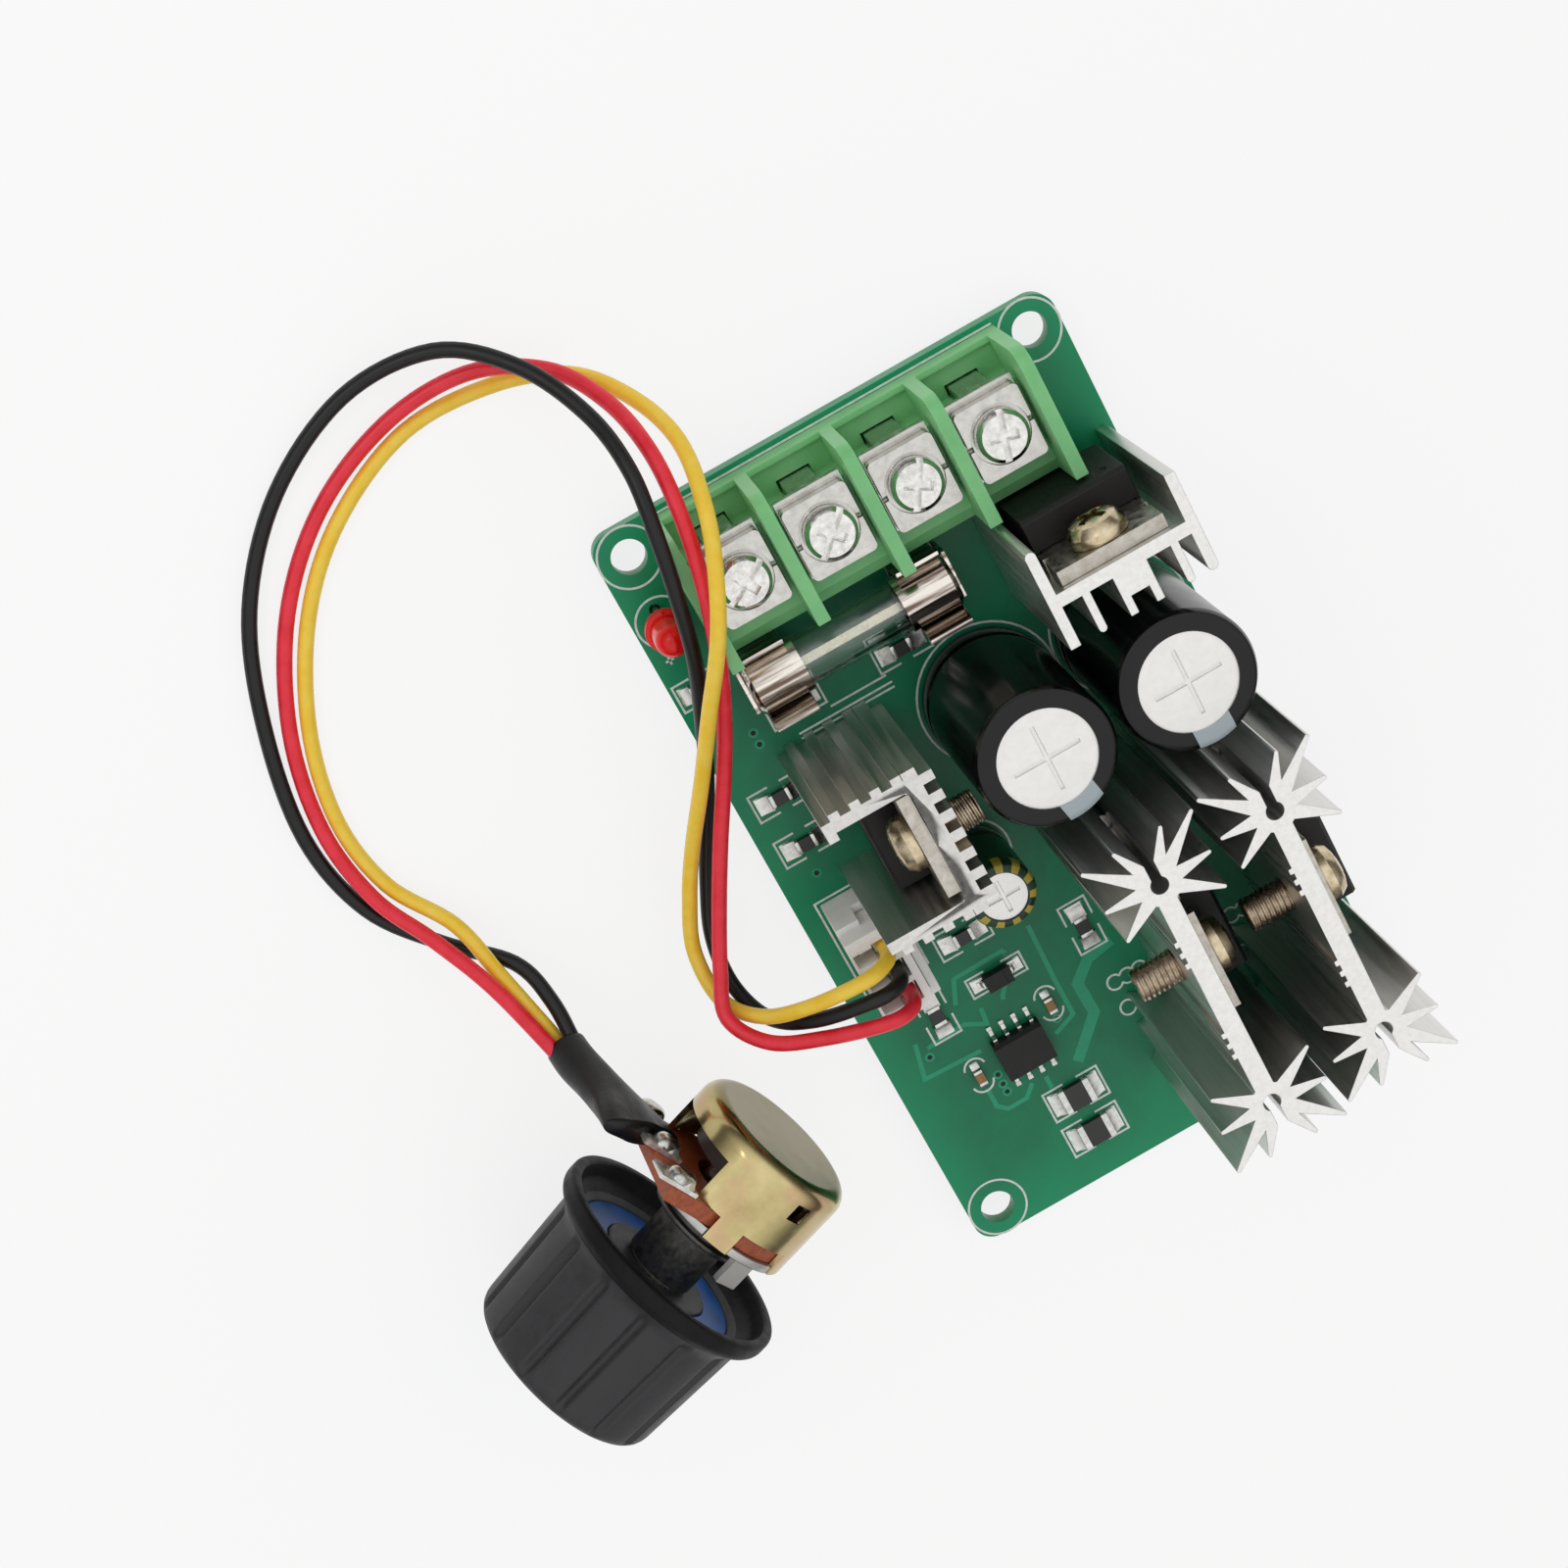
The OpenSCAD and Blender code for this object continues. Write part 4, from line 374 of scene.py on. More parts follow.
# faces of a grid of rows by columns: closed round its columns, and capped at both ends or closed round its rows
def gridFaces(rows, columns, looped=False, start=0):
    i, j = np.meshgrid(np.arange(rows if looped else rows - 1), np.arange(columns), indexing="ij")
    a, b = i * columns + j, i * columns + (j + 1) % columns
    c, d = (i + 1) % rows * columns + (j + 1) % columns, (i + 1) % rows * columns + j
    faces = [tuple(f) for f in (np.stack([a, b, c, d], -1).reshape(-1, 4) + start)]
    if not looped:
        faces += [tuple(np.arange(columns)[::-1] + start), tuple(np.arange(columns) + (rows - 1) * columns + start)]
    return faces


# several grids as one set of points and faces
def joined(grids, looped=False):
    points, faces, count = [], [], 0
    for grid in grids:
        grid = np.asarray(grid, float)
        faces += gridFaces(grid.shape[0], grid.shape[1], looped, count)
        points.append(grid.reshape(-1, 3))
        count += grid.shape[0] * grid.shape[1]
    return np.concatenate(points), faces


# a smooth line through the points: between each two, the cubic that keeps the mean direction at both
def smoothLine(points, steps):
    p = np.asarray(points, float)
    ends = np.concatenate([[2 * p[0] - p[1]], p, [2 * p[-1] - p[-2]]])
    a, b, c, d = ends[:-3, None], ends[1:-2, None], ends[2:-1, None], ends[3:, None]
    t = (np.arange(steps) / steps)[None, :, None]
    line = b + 0.5 * t * (c - a + t * (2 * a - 5 * b + 4 * c - d + t * (3 * (b - c) + d - a)))
    return np.concatenate([line.reshape(-1, p.shape[1]), p[-1:]])


def evenAngles(count):
    return np.linspace(0, 2 * np.pi, count, endpoint=False)


# a ring of offsets carried along a line, square to it; spread gives the two half widths at each point
def carried(line, spread, sides, reference, turn=0):
    heading = np.gradient(line, axis=0)
    heading /= np.linalg.norm(heading, axis=1, keepdims=True)
    side = np.cross(heading, reference)
    side /= np.linalg.norm(side, axis=1, keepdims=True)
    up = np.cross(side, heading)
    angle = evenAngles(sides)[None, :, None] + turn
    spread = np.broadcast_to(np.asarray(spread, float), (len(line), 2))
    sideways = spread[:, :1, None] * np.cos(angle) * side[:, None]
    return line[:, None] + sideways + spread[:, 1:, None] * np.sin(angle) * up[:, None]


# the three wires: routes in mm from the plug over the terminal block to the sleeve
wires = {
    "yellow": {"route": [(-17.2, -3.05, 9.5), (-17.2, -3.05, 12.5), (-18, -3, 14.5), (-20.25, -3, 15.5),
        (-25.5, -3.5, 13.25), (-29.5, -3.75, 9.5), (-32, -2, 6), (-32, 2.5, 4), (-30, 7, 3.75),
        (-27.5, 11.5, 5), (-24, 17.5, 8.5), (-20.5, 24, 12.75), (-17, 30, 15.75), (-14.5, 35, 16),
        (-12.5, 40, 14.5), (-11.5, 45, 10), (-13, 49, 5), (-16.5, 52.5, 1.25), (-22.5, 54.5, -0.75),
        (-31, 54.75, -0.75), (-39.5, 51, -0.75), (-46, 45, -0.75), (-51, 36.5, -0.75),
        (-53.25, 28, -0.75), (-52.5, 20.75, -0.25), (-49, 15, 1.75), (-47.75, 9, 3.25), (-46.15, 0.5, 4.45)],
        "finish": yellowPvc, "slot": "yellow_insulation", "node": "wire_yellow"},
    "red": {"route": [(-17.2, -8.05, 9.5), (-17.2, -8.05, 12.5), (-18, -8, 14.5), (-20.25, -7.5, 15.5),
        (-25.5, -6.75, 13.5), (-30, -5.5, 11.25), (-32.25, -2.5, 9), (-30.75, 1, 7.25),
        (-28, 6, 6.25), (-25, 11.5, 6.75), (-22, 17, 8.25), (-19.5, 22.5, 10.75), (-17.5, 28, 13.2),
        (-15.75, 34, 14), (-14.5, 40, 13.5), (-14, 45.5, 10.5), (-15, 50, 6), (-18, 54, 2.25),
        (-24, 56.75, 0.75), (-32, 56.25, -0.25), (-40.5, 52.5, -0.75), (-47.5, 46, -0.75),
        (-52.6, 37, -0.75), (-54.75, 28, -0.5), (-54, 20.5, 0.5), (-51.25, 15, 2.5), (-48.75, 9, 4.5),
        (-46.75, 0.5, 6)],
        "finish": redPvc, "slot": "red_insulation", "node": "wire_red"},
    "black": {"route": [(-17.2, -5.55, 9.5), (-17.2, -5.55, 12.5), (-18, -5.5, 14.25), (-20.25, -5.25, 15),
        (-25.5, -5.25, 12.5), (-29, -4.75, 8.5), (-30.5, -1.75, 5), (-30, 2.5, 3), (-28, 7, 2.5),
        (-25.5, 12, 3.5), (-23, 17.5, 5.75), (-21, 23, 8.5), (-19.25, 28.5, 11.5), (-18, 34.5, 13.5),
        (-17, 40, 13.75), (-16.25, 45.5, 12), (-17, 50.5, 8.5), (-20, 56, 5), (-25.5, 60, 2),
        (-34, 60, 0), (-43, 55.5, -0.75), (-50, 48, -0.75), (-54.25, 38.5, -0.75),
        (-56.5, 28, -0.75), (-55.25, 19.5, -0.75), (-51, 13.5, 0), (-46.3, 9.25, 2), (-45.1, 5, 3.6), (-45.15, 0.5, 6)],
        "finish": blackPvc, "slot": "black_insulation", "node": "wire_black"},
}
wireDiameter = 1.4
wireMesh = {"steps": 8, "sides": 16, "reference": (0.5, 0, 0.87)}
for colour, wire in wires.items():
    line = smoothLine(wire["route"], wireMesh["steps"])
    points, faces = joined([carried(line, wireDiameter / 2, wireMesh["sides"], wireMesh["reference"])])
    tube = makePiece(colour + "Wire", points, faces, wire["finish"], "controller", [wire["node"]])

# heat-shrink sleeve in the head's frame: round over the wires, then a fan pressed flat over the lugs, where it
# ripples: its width shrinks by ripple * along * (1 + cos(ripples * a)) / 2 * sin(a)^2
sleeve = {"route": [(10, 16.5, 7.2), (8.2, 15.8, 7.2), (6, 14.6, 7.4), (3.6, 13.2, 7.6), (1.6, 12.2, 7.8),
                    (0, 11.45, 7.8)],
          "long": [1.85, 2.0, 2.6, 3.8, 5.1, 5.9], "short": [1.85, 1.9, 1.85, 1.75, 1.5, 1.25],
          "steps": 8, "sides": 48, "ripple": 0.12, "ripples": 6}
upright = (0, 0, 1.0)
line = smoothLine(sleeve["route"], sleeve["steps"])
spread = smoothLine(np.stack([sleeve["long"], sleeve["short"]], 1), sleeve["steps"])
grid = carried(line, spread, sleeve["sides"], upright)
along = np.linspace(0, 1, len(line))[:, None]
around = evenAngles(sleeve["sides"])[None]
swell = 1 - sleeve["ripple"] * along * (0.5 + 0.5 * np.cos(sleeve["ripples"] * around)) * np.sin(around) ** 2
grid = line[:, None] + (grid - line[:, None]) * swell[..., None]
points, faces = joined([grid])
makePiece("shrinkSleeve", fromHead(points), faces, shrinkTube, "controller", ["heat_shrink"])
print("cords made")

# corners that agree to these digits of a metre are one, and faces within these degrees are flat together
merging = {"digits": 8, "flat": 0.8}
# edges turned by more than this angle get a bevel of these segments
brokenEdges = {"segments": 2, "angle": 32}


# a copy of a CAD node with its loose triangles merged into whole faces, without those that collapse in the merge,
# then its edges broken by a small bevel
def dressed(node, material, bevel):
    source = frame["nodes"][node].data
    corners = np.empty(len(source.vertices) * 3)
    source.vertices.foreach_get("co", corners)
    loops = np.empty(len(source.loops), int)
    source.loops.foreach_get("vertex_index", loops)
    whole, index = np.unique(corners.reshape(-1, 3).round(merging["digits"]), axis=0, return_inverse=True)
    triangles = index.reshape(-1)[loops].reshape(-1, 3)
    triangles = triangles[(triangles != np.roll(triangles, 1, 1)).all(1)]
    name = "".join(w if i == 0 else w.capitalize() for i, w in enumerate(node.split("_")))
    mesh = bpy.data.meshes.new(name)
    mesh.from_pydata(whole.tolist(), [], triangles.tolist())
    mesh.validate()
    work = bmesh.new()
    work.from_mesh(mesh)
    bmesh.ops.dissolve_limit(work, angle_limit=math.radians(merging["flat"]), verts=work.verts, edges=work.edges)
    for face in work.faces:
        face.smooth = True
    work.to_mesh(mesh)
    work.free()
    mesh.materials.append(material)
    piece = bpy.data.objects.new(name, mesh)
    bpy.context.scene.collection.objects.link(piece)
    edge = piece.modifiers.new("brokenEdges", "BEVEL")
    edge.width, edge.segments = bevel * mm, brokenEdges["segments"]
    edge.limit_method, edge.angle_limit = "ANGLE", math.radians(brokenEdges["angle"])
    piece.modifiers.new("evenShade", "WEIGHTED_NORMAL").keep_sharp = True
    return riding(piece, bodyOfNode[node], [node])


dressing = {
    "board": (solderMask, 0.05), "solder_joints": (solder, 0.02), "chip_solder": (solder, 0.03),
    "terminal_body": (greenPolyamide, 0.18), "terminal_contacts": (nickelSteel, 0.06),
    "fuse_glass": (fuseGlass, 0.08), "fuse_caps": (nickelBrass, 0.05),
    "fuse_clips": (nickelBrass, 0.06), "lamp_leads": (nickelSteel, 0.05),
    "large_cap_sleeves": (blackSleeve, 0.04), "small_cap_sleeve": (greenSleeve, 0.04), "cap_cans": (canAluminium, 0.05),
    "cap_seals": (bungRubber, 0.05), "cap_leads": (nickelSteel, 0.02), "star_sink_1": (extrudedAluminium, 0.08),
    "star_sink_2": (extrudedAluminium, 0.08), "winged_sink": (extrudedAluminium, 0.08),
    "toothed_sink": (sawnAluminium, 0.08),
    "sink_pins": (nickelSteel, 0.05), "transistors": (epoxyMoulding, 0.15), "power_diode": (epoxyMoulding, 0.15),
    "regulator": (epoxyMoulding, 0.15), "package_tabs": (tinnedCopper, 0.06), "package_leads": (tinnedCopper, 0.05),
    "package_screws": (warmSteel, 0.08),
    "header": (whitePolyamide, 0.1), "header_pins": (tinnedBronze, 0.05), "plug": (whitePolyamide, 0.1),
    "crimp_contacts": (tinnedBronze, 0.05), "chip_resistors": (chipGlaze, 0.03), "chip_capacitors": (tanCeramic, 0.05),
    "chip_ends": (solder, 0.05), "small_diode": (epoxyMoulding, 0.06), "driver_chip": (epoxyMoulding, 0.06),
    "driver_leads": (solder, 0.03), "pot_case": (yellowZinc, 0.12), "pot_wafer": (phenolicBoard, 0.06),
    "pot_lugs": (floodedLug, 0.06), "pot_bushing": (castZinc, 0.1), "pot_shaft": (turnedShaft, 0.1),
    "pot_rotor": (darkAcetal, 0.1), "knob_insert": (blueAbs, 0.15), "knob_cap": (blueAbs, 0.2),
}
for number in range(1, 5):
    dressing[f"clamp_plate_{number}"] = (nickelSteel, 0.08)
    dressing[f"terminal_screw_{number}"] = (barrelNickel, 0.08)
for node, (material, bevel) in dressing.items():
    dressed(node, material, bevel)

# the lamp's lens is turned from its outline: a flange, a straight wall and a round dome
lens = {"place": (-20.05, 29.8, 4.0), "radius": 1.5, "wall": 3.8, "sides": 64, "domeEnd": 89.5, "domeSteps": 20,
        "flange": [(0.3, 0), (1.8, 0), (1.87, 0.03), (1.9, 0.1), (1.9, 0.9), (1.87, 0.97), (1.8, 1.0), (1.56, 1.0),
                   (1.51, 1.03), (1.5, 1.1)]}
rise = np.radians(np.linspace(0, lens["domeEnd"], lens["domeSteps"]))
dome = np.stack([lens["radius"] * np.cos(rise), lens["wall"] + lens["radius"] * np.sin(rise)], 1)
outline = np.concatenate([lens["flange"], dome])
angle = evenAngles(lens["sides"])
grid = np.stack([outline[:, :1] * np.cos(angle), outline[:, :1] * np.sin(angle),
                 np.broadcast_to(outline[:, 1:], (len(outline), len(angle)))], -1)
points, faces = joined([grid + lens["place"]])
makePiece("lampLens", points, faces, redEpoxy, "controller", ["lamp_lens"])

# solder heaped over each lug and its rivet: half widths shrink with cos(rise)^power as the height grows with
# sin(rise), and the outline wobbles by sines of a size, a count and a start
heap = {"pitch": 5, "out": 8.75, "level": 7.97, "half": (1.12, 1.6), "height": 1.0, "power": 0.7,
        "end": 88, "steps": 14, "sides": 64, "wobbles": [(0.06, 3, 0), (0.04, 5, 1)]}
rise = np.radians(np.linspace(0, heap["end"], heap["steps"]))[:, None]
angle = evenAngles(heap["sides"])
wobble = 1 + sum(size * np.sin(count * angle + start) for size, count, start in heap["wobbles"])
shrunk = np.cos(rise) ** heap["power"] * wobble
level = np.broadcast_to(heap["level"] + heap["height"] * np.sin(rise), shrunk.shape)
grids = [np.stack([s * heap["pitch"] + heap["half"][0] * shrunk * np.cos(angle),
                   heap["out"] + heap["half"][1] * shrunk * np.sin(angle), level], -1) for s in (-1, 0, 1)]
points, faces = joined(grids)
makePiece("lugSolder", fromHead(points), faces, solder, "controller")

# the fuse element is a ribbon from cap to cap: its four corners lie at 45 degrees, root 2 further out than its sides
ribbon = {"from": (-15.6, 22.1, 6.8), "to": (2.7, 22.1, 6.8), "halfWidth": 0.42, "halfThick": 0.06, "steps": 12}
line = np.linspace(ribbon["from"], ribbon["to"], ribbon["steps"])
spread = (ribbon["halfWidth"] * math.sqrt(2), ribbon["halfThick"] * math.sqrt(2))
points, faces = joined([carried(line, spread, 4, upright, np.pi / 4)])
makePiece("fuseRibbon", points, faces, tinnedBronze, "fuse", ["fuse_element"], smooth=False)
print("CAD nodes dressed")


# the corners of an outline rounded by arcs: each corner becomes the curve that leaves it at the given distance,
# which is at most a share of the shorter side
def roundedOutline(corners, distances, steps, most=0.45):
    p = np.asarray(corners, float)
    before, after = np.roll(p, 1, 0) - p, np.roll(p, -1, 0) - p
    lengthBefore, lengthAfter = np.linalg.norm(before, axis=1), np.linalg.norm(after, axis=1)
    reach = np.minimum(np.asarray(distances, float), most * np.minimum(lengthBefore, lengthAfter))[:, None]
    a, b = p + before / lengthBefore[:, None] * reach, p + after / lengthAfter[:, None] * reach
    t = np.linspace(0, 1, steps)[None, :, None]
    return ((1 - t) ** 2 * a[:, None] + 2 * t * (1 - t) * p[:, None] + t ** 2 * b[:, None]).reshape(-1, 2)


# knob shell: an outline of radius and height turned round the axis, with flutes pressed into its outside, which fade
# by (start, length) after the flange and before the crown
knob = {"flange": 11.8, "flangeHeight": 1.6, "shoulder": 1.3, "bodyTop": 10.4, "bodyEnd": 9.7, "length": 15.6,
        "mouth": 10.8, "lip": 0.45, "cavity": 8.5, "cavityTop": 2.6, "hub": 5.6, "hubDrop": 2.4, "shaft": 3.02,
        "capHole": 6.45, "capDepth": 1.5, "floor": 1.2,
        "rounding": [0.3, 0.5, 0.5, 0.8, 1.9, 0.25, 0.1, 0.1, 0.2, 0.3, 0.2, 0.2, 0.2, 0.4], "roundSteps": 7,
        "spacing": 0.5, "leastGap": 1e-6, "around": 14 * 26, "flutes": 14, "fluteWidth": 0.95, "fluteDepth": 0.5,
        "fluteEdge": 1.25, "fluteBend": 0.6, "afterFlange": (0.6, 1.2), "beforeCrown": (0.5, 1.0)}
capFloor = knob["capDepth"] - knob["length"]
shellFloor = capFloor + knob["floor"]
outline = np.array([(knob["mouth"], 0), (knob["flange"], 0), (knob["flange"], -knob["flangeHeight"]),
    (knob["bodyTop"], -knob["flangeHeight"] - knob["shoulder"]), (knob["bodyEnd"], -knob["length"]),
    (knob["capHole"], -knob["length"]), (knob["capHole"], capFloor), (knob["shaft"], capFloor),
    (knob["shaft"], -knob["hubDrop"]), (knob["hub"], -knob["hubDrop"]), (knob["hub"], shellFloor),
    (knob["cavity"], shellFloor), (knob["cavity"], -knob["cavityTop"]),
    (knob["mouth"] - knob["lip"], -knob["flangeHeight"])])
profile = roundedOutline(outline, knob["rounding"], knob["roundSteps"])
following = np.roll(profile, -1, 0)
gaps = np.linalg.norm(following - profile, axis=1)
profile = np.concatenate([np.linspace(p, q, max(2, int(gap / knob["spacing"]) + 1))[:-1]
                          for p, q, gap in zip(profile, following, gaps) if gap > knob["leastGap"]])
angle = evenAngles(knob["around"])
radius, height = profile[:, :1], profile[:, 1:]
fluteShare = (angle * knob["flutes"] / (2 * np.pi) + 0.5) % 1 - 0.5
offCentre = np.abs(fluteShare) * 2 * np.pi * knob["bodyTop"] / knob["flutes"] / (knob["fluteWidth"] / 2)
pressed = np.clip(knob["fluteEdge"] - offCentre, 0, 1)[None] ** knob["fluteBend"]
onBody = (np.arange(len(profile)) < np.argmin(height[:, 0]) + 1)[:, None]
(start, fade), (end, lastFade) = knob["afterFlange"], knob["beforeCrown"]
window = np.clip((-height - knob["flangeHeight"] - start) / fade, 0, 1)
window = window * np.clip((knob["length"] + height - end) / lastFade, 0, 1)
deep = radius - knob["fluteDepth"] * pressed * window * onBody
grid = np.stack([deep * np.cos(angle), deep * np.sin(angle), np.broadcast_to(height, deep.shape)], -1)
points, faces = joined([grid], looped=True)
makePiece("knobShell", fromHead(points), faces, sparkedAbs, "knob", ["knob_shell"])
print("knob made")


# screw threads on the ends that stand out of the heat sinks: along the screw a zigzag of radius, which turns one
# pitch a turn
thread = {"root": 1.47, "crest": 1.62, "pitch": 0.5, "sides": 40, "perPitch": 8, "runIn": 0.1, "chamfer": 0.3,
          "past": 1.004, "ends": [((4.05, -15.1, 17.9), -4.0), ((15.35, -14.4, 17.9), -4.0), ((-6.8, 7.2, 17.9), 2.2)]}
grids = []
for (x, y, z), run in thread["ends"]:
    long = abs(run)
    along = np.linspace(0, 1, int(long / thread["pitch"] * thread["perPitch"]) + 1)[:, None]
    angle = evenAngles(thread["sides"])[None]
    phase = (along * long / thread["pitch"] - angle / (2 * np.pi)) % 1
    ridge = 1 - np.abs(2 * phase - 1)
    fade = np.clip((1 - along) * long / thread["chamfer"], 0, 1) * np.clip(along * long / thread["runIn"], 0, 1)
    radius = thread["root"] + (thread["crest"] - thread["root"]) * ridge * fade
    grids.append(np.stack([np.broadcast_to(x + run * along * thread["past"], radius.shape),
                           y + radius * np.cos(angle), z + radius * np.sin(angle)], -1))
points, faces = joined(grids)
makePiece("screwThreads", points, faces, rolledSteel, "controller")


# flat runs of ink or copper: a closed band of the given width along each line, with mitred corners,
# where the half width is carried along (n1 + n2) / (1 + n1.n2), n1 and n2 being square to the runs before and after;
# the divisor is never less than sharpest
def strips(lines, width, low, high, sharpest=0.4):
    grids = []
    for line in lines:
        line = np.asarray(line, float)
        step = np.diff(line, axis=0)
        square = np.stack([-step[:, 1], step[:, 0]], 1) / np.linalg.norm(step, axis=1, keepdims=True)
        meets = np.allclose(line[0], line[-1])
        before = np.concatenate([square[-1:] if meets else square[:1], square])
        after = np.concatenate([square, square[:1] if meets else square[-1:]])
        side = (before + after) / np.maximum(1 + (before * after).sum(1, keepdims=True), sharpest) * width / 2
        grids.append(np.stack([np.column_stack([edge, np.full(len(line), level)]) for edge, level in
                               ((line + side, low), (line - side, low), (line - side, high), (line + side, high))], 1))
    return joined(grids)


def arc(x, y, r, start=0, end=360, steps=48):
    t = np.radians(np.linspace(start, end, steps))
    return np.stack([x + r * np.cos(t), y + r * np.sin(t)], 1)


# an outline in two brackets round a chip: half length, half width, and the gap in the long sides
def brackets(x, y, along, across, gap, turned=False):
    corners = [(gap, across), (along, across), (along, -across), (gap, -across)]
    halves = [np.array(corners) * (m, 1) for m in (-1, 1)]
    return [(h[:, ::-1] if turned else h) + (x, y) for h in halves]


# an outline of bumps: its half height is sqrt(r^2 - (x - nearest centre)^2), for centres one pitch apart
def scalloped(x0, y0, r=0.75, pitch=1.3, count=3):
    x = np.linspace(-r, (count - 1) * pitch + r, 61)
    centre = np.clip(np.round(x / pitch), 0, count - 1) * pitch
    height = np.sqrt(np.clip(r ** 2 - (x - centre) ** 2, 0, None))
    return np.concatenate([np.stack([x, height], 1), np.stack([x, -height], 1)[-2::-1]]) + (x0, y0)


boardTop = 1.6
printLow = boardTop - 0.01
# the chips by kind: places, the outline's half length, half width and gap, and the solder's inner end, outer end,
# half width and rise; True turns both
chips = {
    "large": {"places": [(-8.2, -30), (-8.2, -34.2)], "outline": (2.85, 1.6, 0.7), "solder": (1.5, 2.6, 1.25, 0.4)},
    "small": {"places": [(-18.6, 10.4), (-18.6, 5.4), (-2.9, 17.0), (-10.4, -10.2), (-13.5, 17.3)],
              "outline": (2.6, 1.35, 0.6), "solder": (0.9, 2.3, 0.92, 0.4)},
    "turned": {"places": [(-16, -15.8), (-0.3, -15.2)], "outline": (2.6, 1.35, 0.6, True),
               "solder": (0.9, 2.3, 0.92, 0.4, True)},
    "edge": {"places": [(-20, 22.8)], "outline": (2.2, 1.3, 0.5), "solder": (0.9, 1.95, 0.92, 0.4)},
    "diode": {"places": [(-9.4, -15.29)], "outline": (2.8, 1.0, 0.9), "solder": (1.3, 2.55, 0.72, 0.1)},
}
# printed lines: rings round the mounting holes, the lamp and the capacitors, then the chips, then plain runs;
# arcs are x, y, radius and their two ends in degrees
ink = {"width": 0.2, "high": boardTop + 0.025, "hole": (19.75, 36.25, 2.8), "back": [(-17, 38.45), (17, 38.45)],
       "arcs": [(-20.05, 29.8, 2.3, 20, 340), (2.1, 9.1, 6.6), (15.4, 8.8, 6.6), (-6, -3.9, 3.5)],
       "capChips": [(-15.25, -23.3), (-6.4, -20.4)], "capArc": (0.75, 1.05, 80),
       "leadRows": [(-0.1, -21.9), (-0.1, -24.8), (12.3, -21.8), (12.3, -24.4)],
       "runs": [[(-20.7, -10.8), (-14.3, -10.8), (-14.3, -0.3), (-20.7, -0.3), (-20.7, -10.8)],
                [(-21.5, 26.4), (-20.7, 26.4)], [(-21.1, 26.0), (-21.1, 26.8)], [(-10.8, 15.4), (-5.2, 15.4)],
                [(-14.4, 14.6), (-5, 14.6)], [(-14.4, 14.1), (-5, 14.1)]]}
holeX, holeY, ringRadius = ink["hole"]
inkLines = [arc(sx * holeX, sy * holeY, ringRadius) for sx in (-1, 1) for sy in (-1, 1)]
inkLines += [ink["back"]] + [arc(*bend) for bend in ink["arcs"]]
inkLines += sum([brackets(x, y, *chip["outline"]) for chip in chips.values() for x, y in chip["places"]], [])
shift, bend, half = ink["capArc"]
inkLines += [arc(x, y + m * shift, bend, m * 90 - half, m * 90 + half) for x, y in ink["capChips"] for m in (-1, 1)]
inkLines += [scalloped(x, y) for x, y in ink["leadRows"]] + ink["runs"]
points, faces = strips(inkLines, ink["width"], printLow, ink["high"])
makePiece("printedOutlines", points, faces, printedInk, "controller", smooth=False)

# solder on the pads beside each chip: it falls from the chip's end to the pad's outer edge by (1 - t)^2
pads = {"thin": 0.06, "steps": 7, "slope": 0.12}


def padSolder(x, y, inner, outer, width, rise, turned=False):
    t = np.linspace(0, 1, pads["steps"])[:, None]
    low, level = printLow + 0 * t, boardTop + pads["thin"] + rise * (1 - t) ** 2
    top = width - pads["slope"]
    across = np.broadcast_to([-width, width, top, -top], (len(t), 4))
    grids = []
    for m in (-1, 1):
        run = np.broadcast_to(m * (inner + (outer - inner) * t), across.shape)
        ring = np.stack([run, across, np.concatenate([low, low, level, level], 1)], -1)
        grids.append((ring[..., [1, 0, 2]] if turned else ring) + (x, y, 0))
    return grids


grids = sum([padSolder(x, y, *chip["solder"]) for chip in chips.values() for x, y in chip["places"]], [])
points, faces = joined(grids)
makePiece("padSolder", points, faces, solder, "controller", smooth=False)

tracks = {"thin": 0.45, "thick": 1.1, "high": boardTop + 0.018}
thinRuns = [[(-19, -17.3), (-19.8, -20.9), (-14, -21.2)],
            [(-18.2, -18.3), (-14.2, -18.0), (-12.3, -19.1), (-12.1, -17.4)],
            [(-14, -15.9), (-13, -13.5), (-7.9, -13.4), (-7.7, -13.8)], [(-9.9, -17.8), (-9.8, -17.4), (-9.0, -16.4)],
            [(-15.2, -24.9), (-15.2, -27.0), (-14.4, -27.8), (-12.4, -27.8), (-11.3, -26.7)],
            [(-9.9, -26.8), (-9.9, -28.2)],
            [(-4.7, -12.5), (-4.9, -18.6), (-4.9, -22.6), (-7.2, -23.5)]]
thickRuns = [[(1.4, -17.9), (-1.3, -18.4), (-3.2, -20.1), (-3.1, -23.5), (-6.6, -27.1)]]
thin, thinFaces = strips(thinRuns, tracks["thin"], printLow, tracks["high"])
thick, thickFaces = strips(thickRuns, tracks["thick"], printLow, tracks["high"])
makePiece("maskedTracks", np.concatenate([thin, thick]),
          thinFaces + [tuple(np.array(f) + len(thin)) for f in thickFaces],
          maskedCopper, "controller", smooth=False)


# flat rings: for the vias, a dark disc painted as the shade in each drilled bore, with a thin collar of masked copper
def rings(places, low, high, sides=32):
    angle = evenAngles(sides)
    grids = []
    for x, y, inner, outer in places:
        edges = [(inner, low), (outer, low), (outer, high), (inner, high)]
        grids.append(np.stack([np.stack([x + r * np.cos(angle), y + r * np.sin(angle), np.full(sides, z)], 1)
                               for r, z in edges]))
    return joined(grids, looped=True)


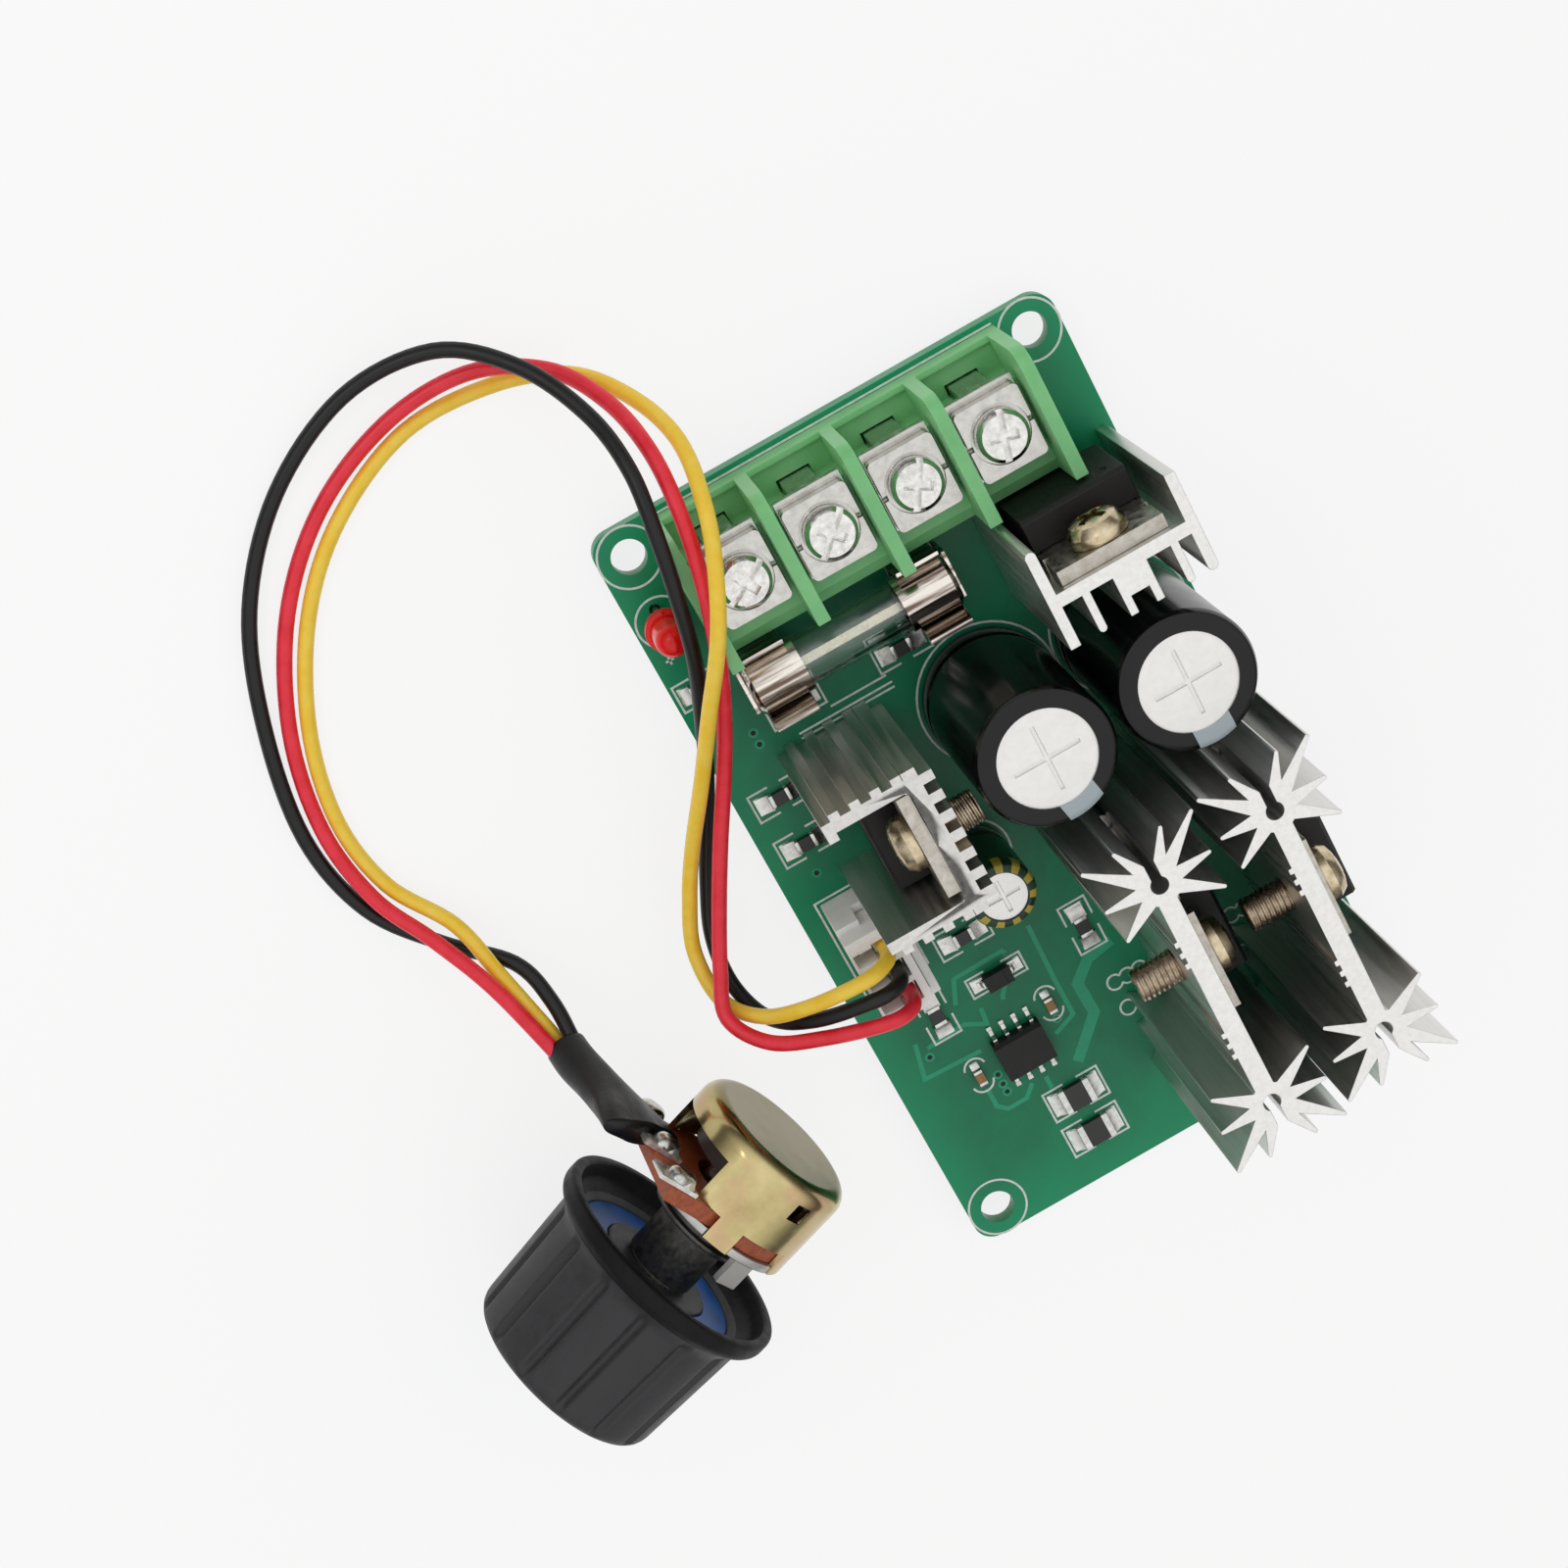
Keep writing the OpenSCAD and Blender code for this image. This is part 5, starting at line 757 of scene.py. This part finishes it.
vias = {"places": [(-19.1, 2.3), (-18.4, -19.2), (-6.4, -22.2), (-13.7, -24.2), (-13.7, -25.3), (-13.7, -26.2),
                   (-17.9, 16.8), (-17.9, 15.6)],
        "centre": 0.02, "bore": 0.24, "collar": 0.46, "boreHigh": boardTop + 0.022, "collarHigh": boardTop + 0.02}
# painted shade: a dark rubber-toned disc stands in for the shaded bore of each via
bores = [(x, y, vias["centre"], vias["bore"]) for x, y in vias["places"]]
points, faces = rings(bores, printLow, vias["boreHigh"])
makePiece("viaBoreShade", points, faces, bungRubber, "controller", smooth=False)
collars = [(x, y, vias["bore"], vias["collar"]) for x, y in vias["places"]]
points, faces = rings(collars, printLow, vias["collarHigh"])
makePiece("viaCollars", points, faces, maskedCopper, "controller", smooth=False)
print("board print made")

# floor and backdrop: white, it keeps the object's shadow
floorLook = {"level": -1.5, "drop": 0.02, "centre": (-20, 20), "size": 3000, "tone": "#f6f6f5", "glow": 0.8}
floorMesh = bpy.data.meshes.new("paleFloor")
half = floorLook["size"] / 2 * mm
floorMesh.from_pydata([(-half, -half, 0), (half, -half, 0), (half, half, 0), (-half, half, 0)], [], [(0, 1, 2, 3)])
floor = bpy.data.objects.new("paleFloor", floorMesh)
floor.location = [v * mm for v in (*floorLook["centre"], floorLook["level"] - floorLook["drop"])]
bpy.context.scene.collection.objects.link(floor)
paper = bpy.data.materials.new("paleFloorPaper")
paper.use_nodes = True
tree = paper.node_tree
tree.nodes.clear()
rays = addNode(tree, "LightPath").outputs
seen = calc(tree, "MAXIMUM", rays["Is Camera Ray"], rays["Is Glossy Ray"])
seen = calc(tree, "MAXIMUM", seen, rays["Is Transmission Ray"])
share = calc(tree, "MULTIPLY", seen, floorLook["glow"])
matt = addNode(tree, "BsdfDiffuse", {"Color": toLinear(floorLook["tone"])})
glow = addNode(tree, "Emission", {"Color": (1, 1, 1, 1), "Strength": 1.0})
mixed = addNode(tree, "MixShader", None, {0: share, 1: matt.outputs[0], 2: glow.outputs[0]})
addNode(tree, "OutputMaterial", None, {"Surface": mixed.outputs[0]})
floorMesh.materials.append(paper)

# soft light: a white sky and two large lamps; gloss sees a bright ceiling over a dim horizon, as between two soft
# boxes, and matt surfaces see an even sky
skyLook = {"horizonAt": 0.05, "ceilingAt": 0.8, "horizon": 0.12, "ceiling": 1.12, "even": 0.72}
world = bpy.data.worlds.new("studioSky")
world.use_nodes = True
tree = world.node_tree
tree.nodes.clear()
rays = addNode(tree, "LightPath").outputs
height = axesOf(tree, addNode(tree, "TexCoord").outputs["Generated"])["Z"]
ceiling = ramp(tree, height, skyLook["horizonAt"], skyLook["ceilingAt"], skyLook["horizon"], skyLook["ceiling"],
               interpolation_type="SMOOTHSTEP")
even = addNode(tree, "Mix", {2: skyLook["even"]}, {0: rays["Is Glossy Ray"], 3: ceiling})
strength = addNode(tree, "Mix", {3: 1.0}, {0: rays["Is Camera Ray"], 2: even.outputs[0]})
sky = addNode(tree, "Background", {"Color": (1, 1, 1, 1)}, {"Strength": strength.outputs[0]})
addNode(tree, "OutputWorld", None, {"Surface": sky.outputs[0]})
bpy.context.scene.world = world
lamps = {"key": {"place": (-260, 420, 520), "size": 260, "power": 2.6},
         "side": {"place": (420, -120, 360), "size": 300, "power": 1.0}}
for name, lamp in lamps.items():
    light = bpy.data.lights.new(name + "Lamp", "AREA")
    light.size, light.energy = lamp["size"] * mm, lamp["power"]
    holder = bpy.data.objects.new(name + "Lamp", light)
    holder.location = [v * mm for v in lamp["place"]]
    x, y, z = -np.array(lamp["place"], float)
    holder.rotation_euler = (math.atan2(math.hypot(x, y), -z), 0, math.atan2(x, -y))
    bpy.context.scene.collection.objects.link(holder)
bpy.context.scene.view_settings.view_transform = "Standard"
print("stage made")
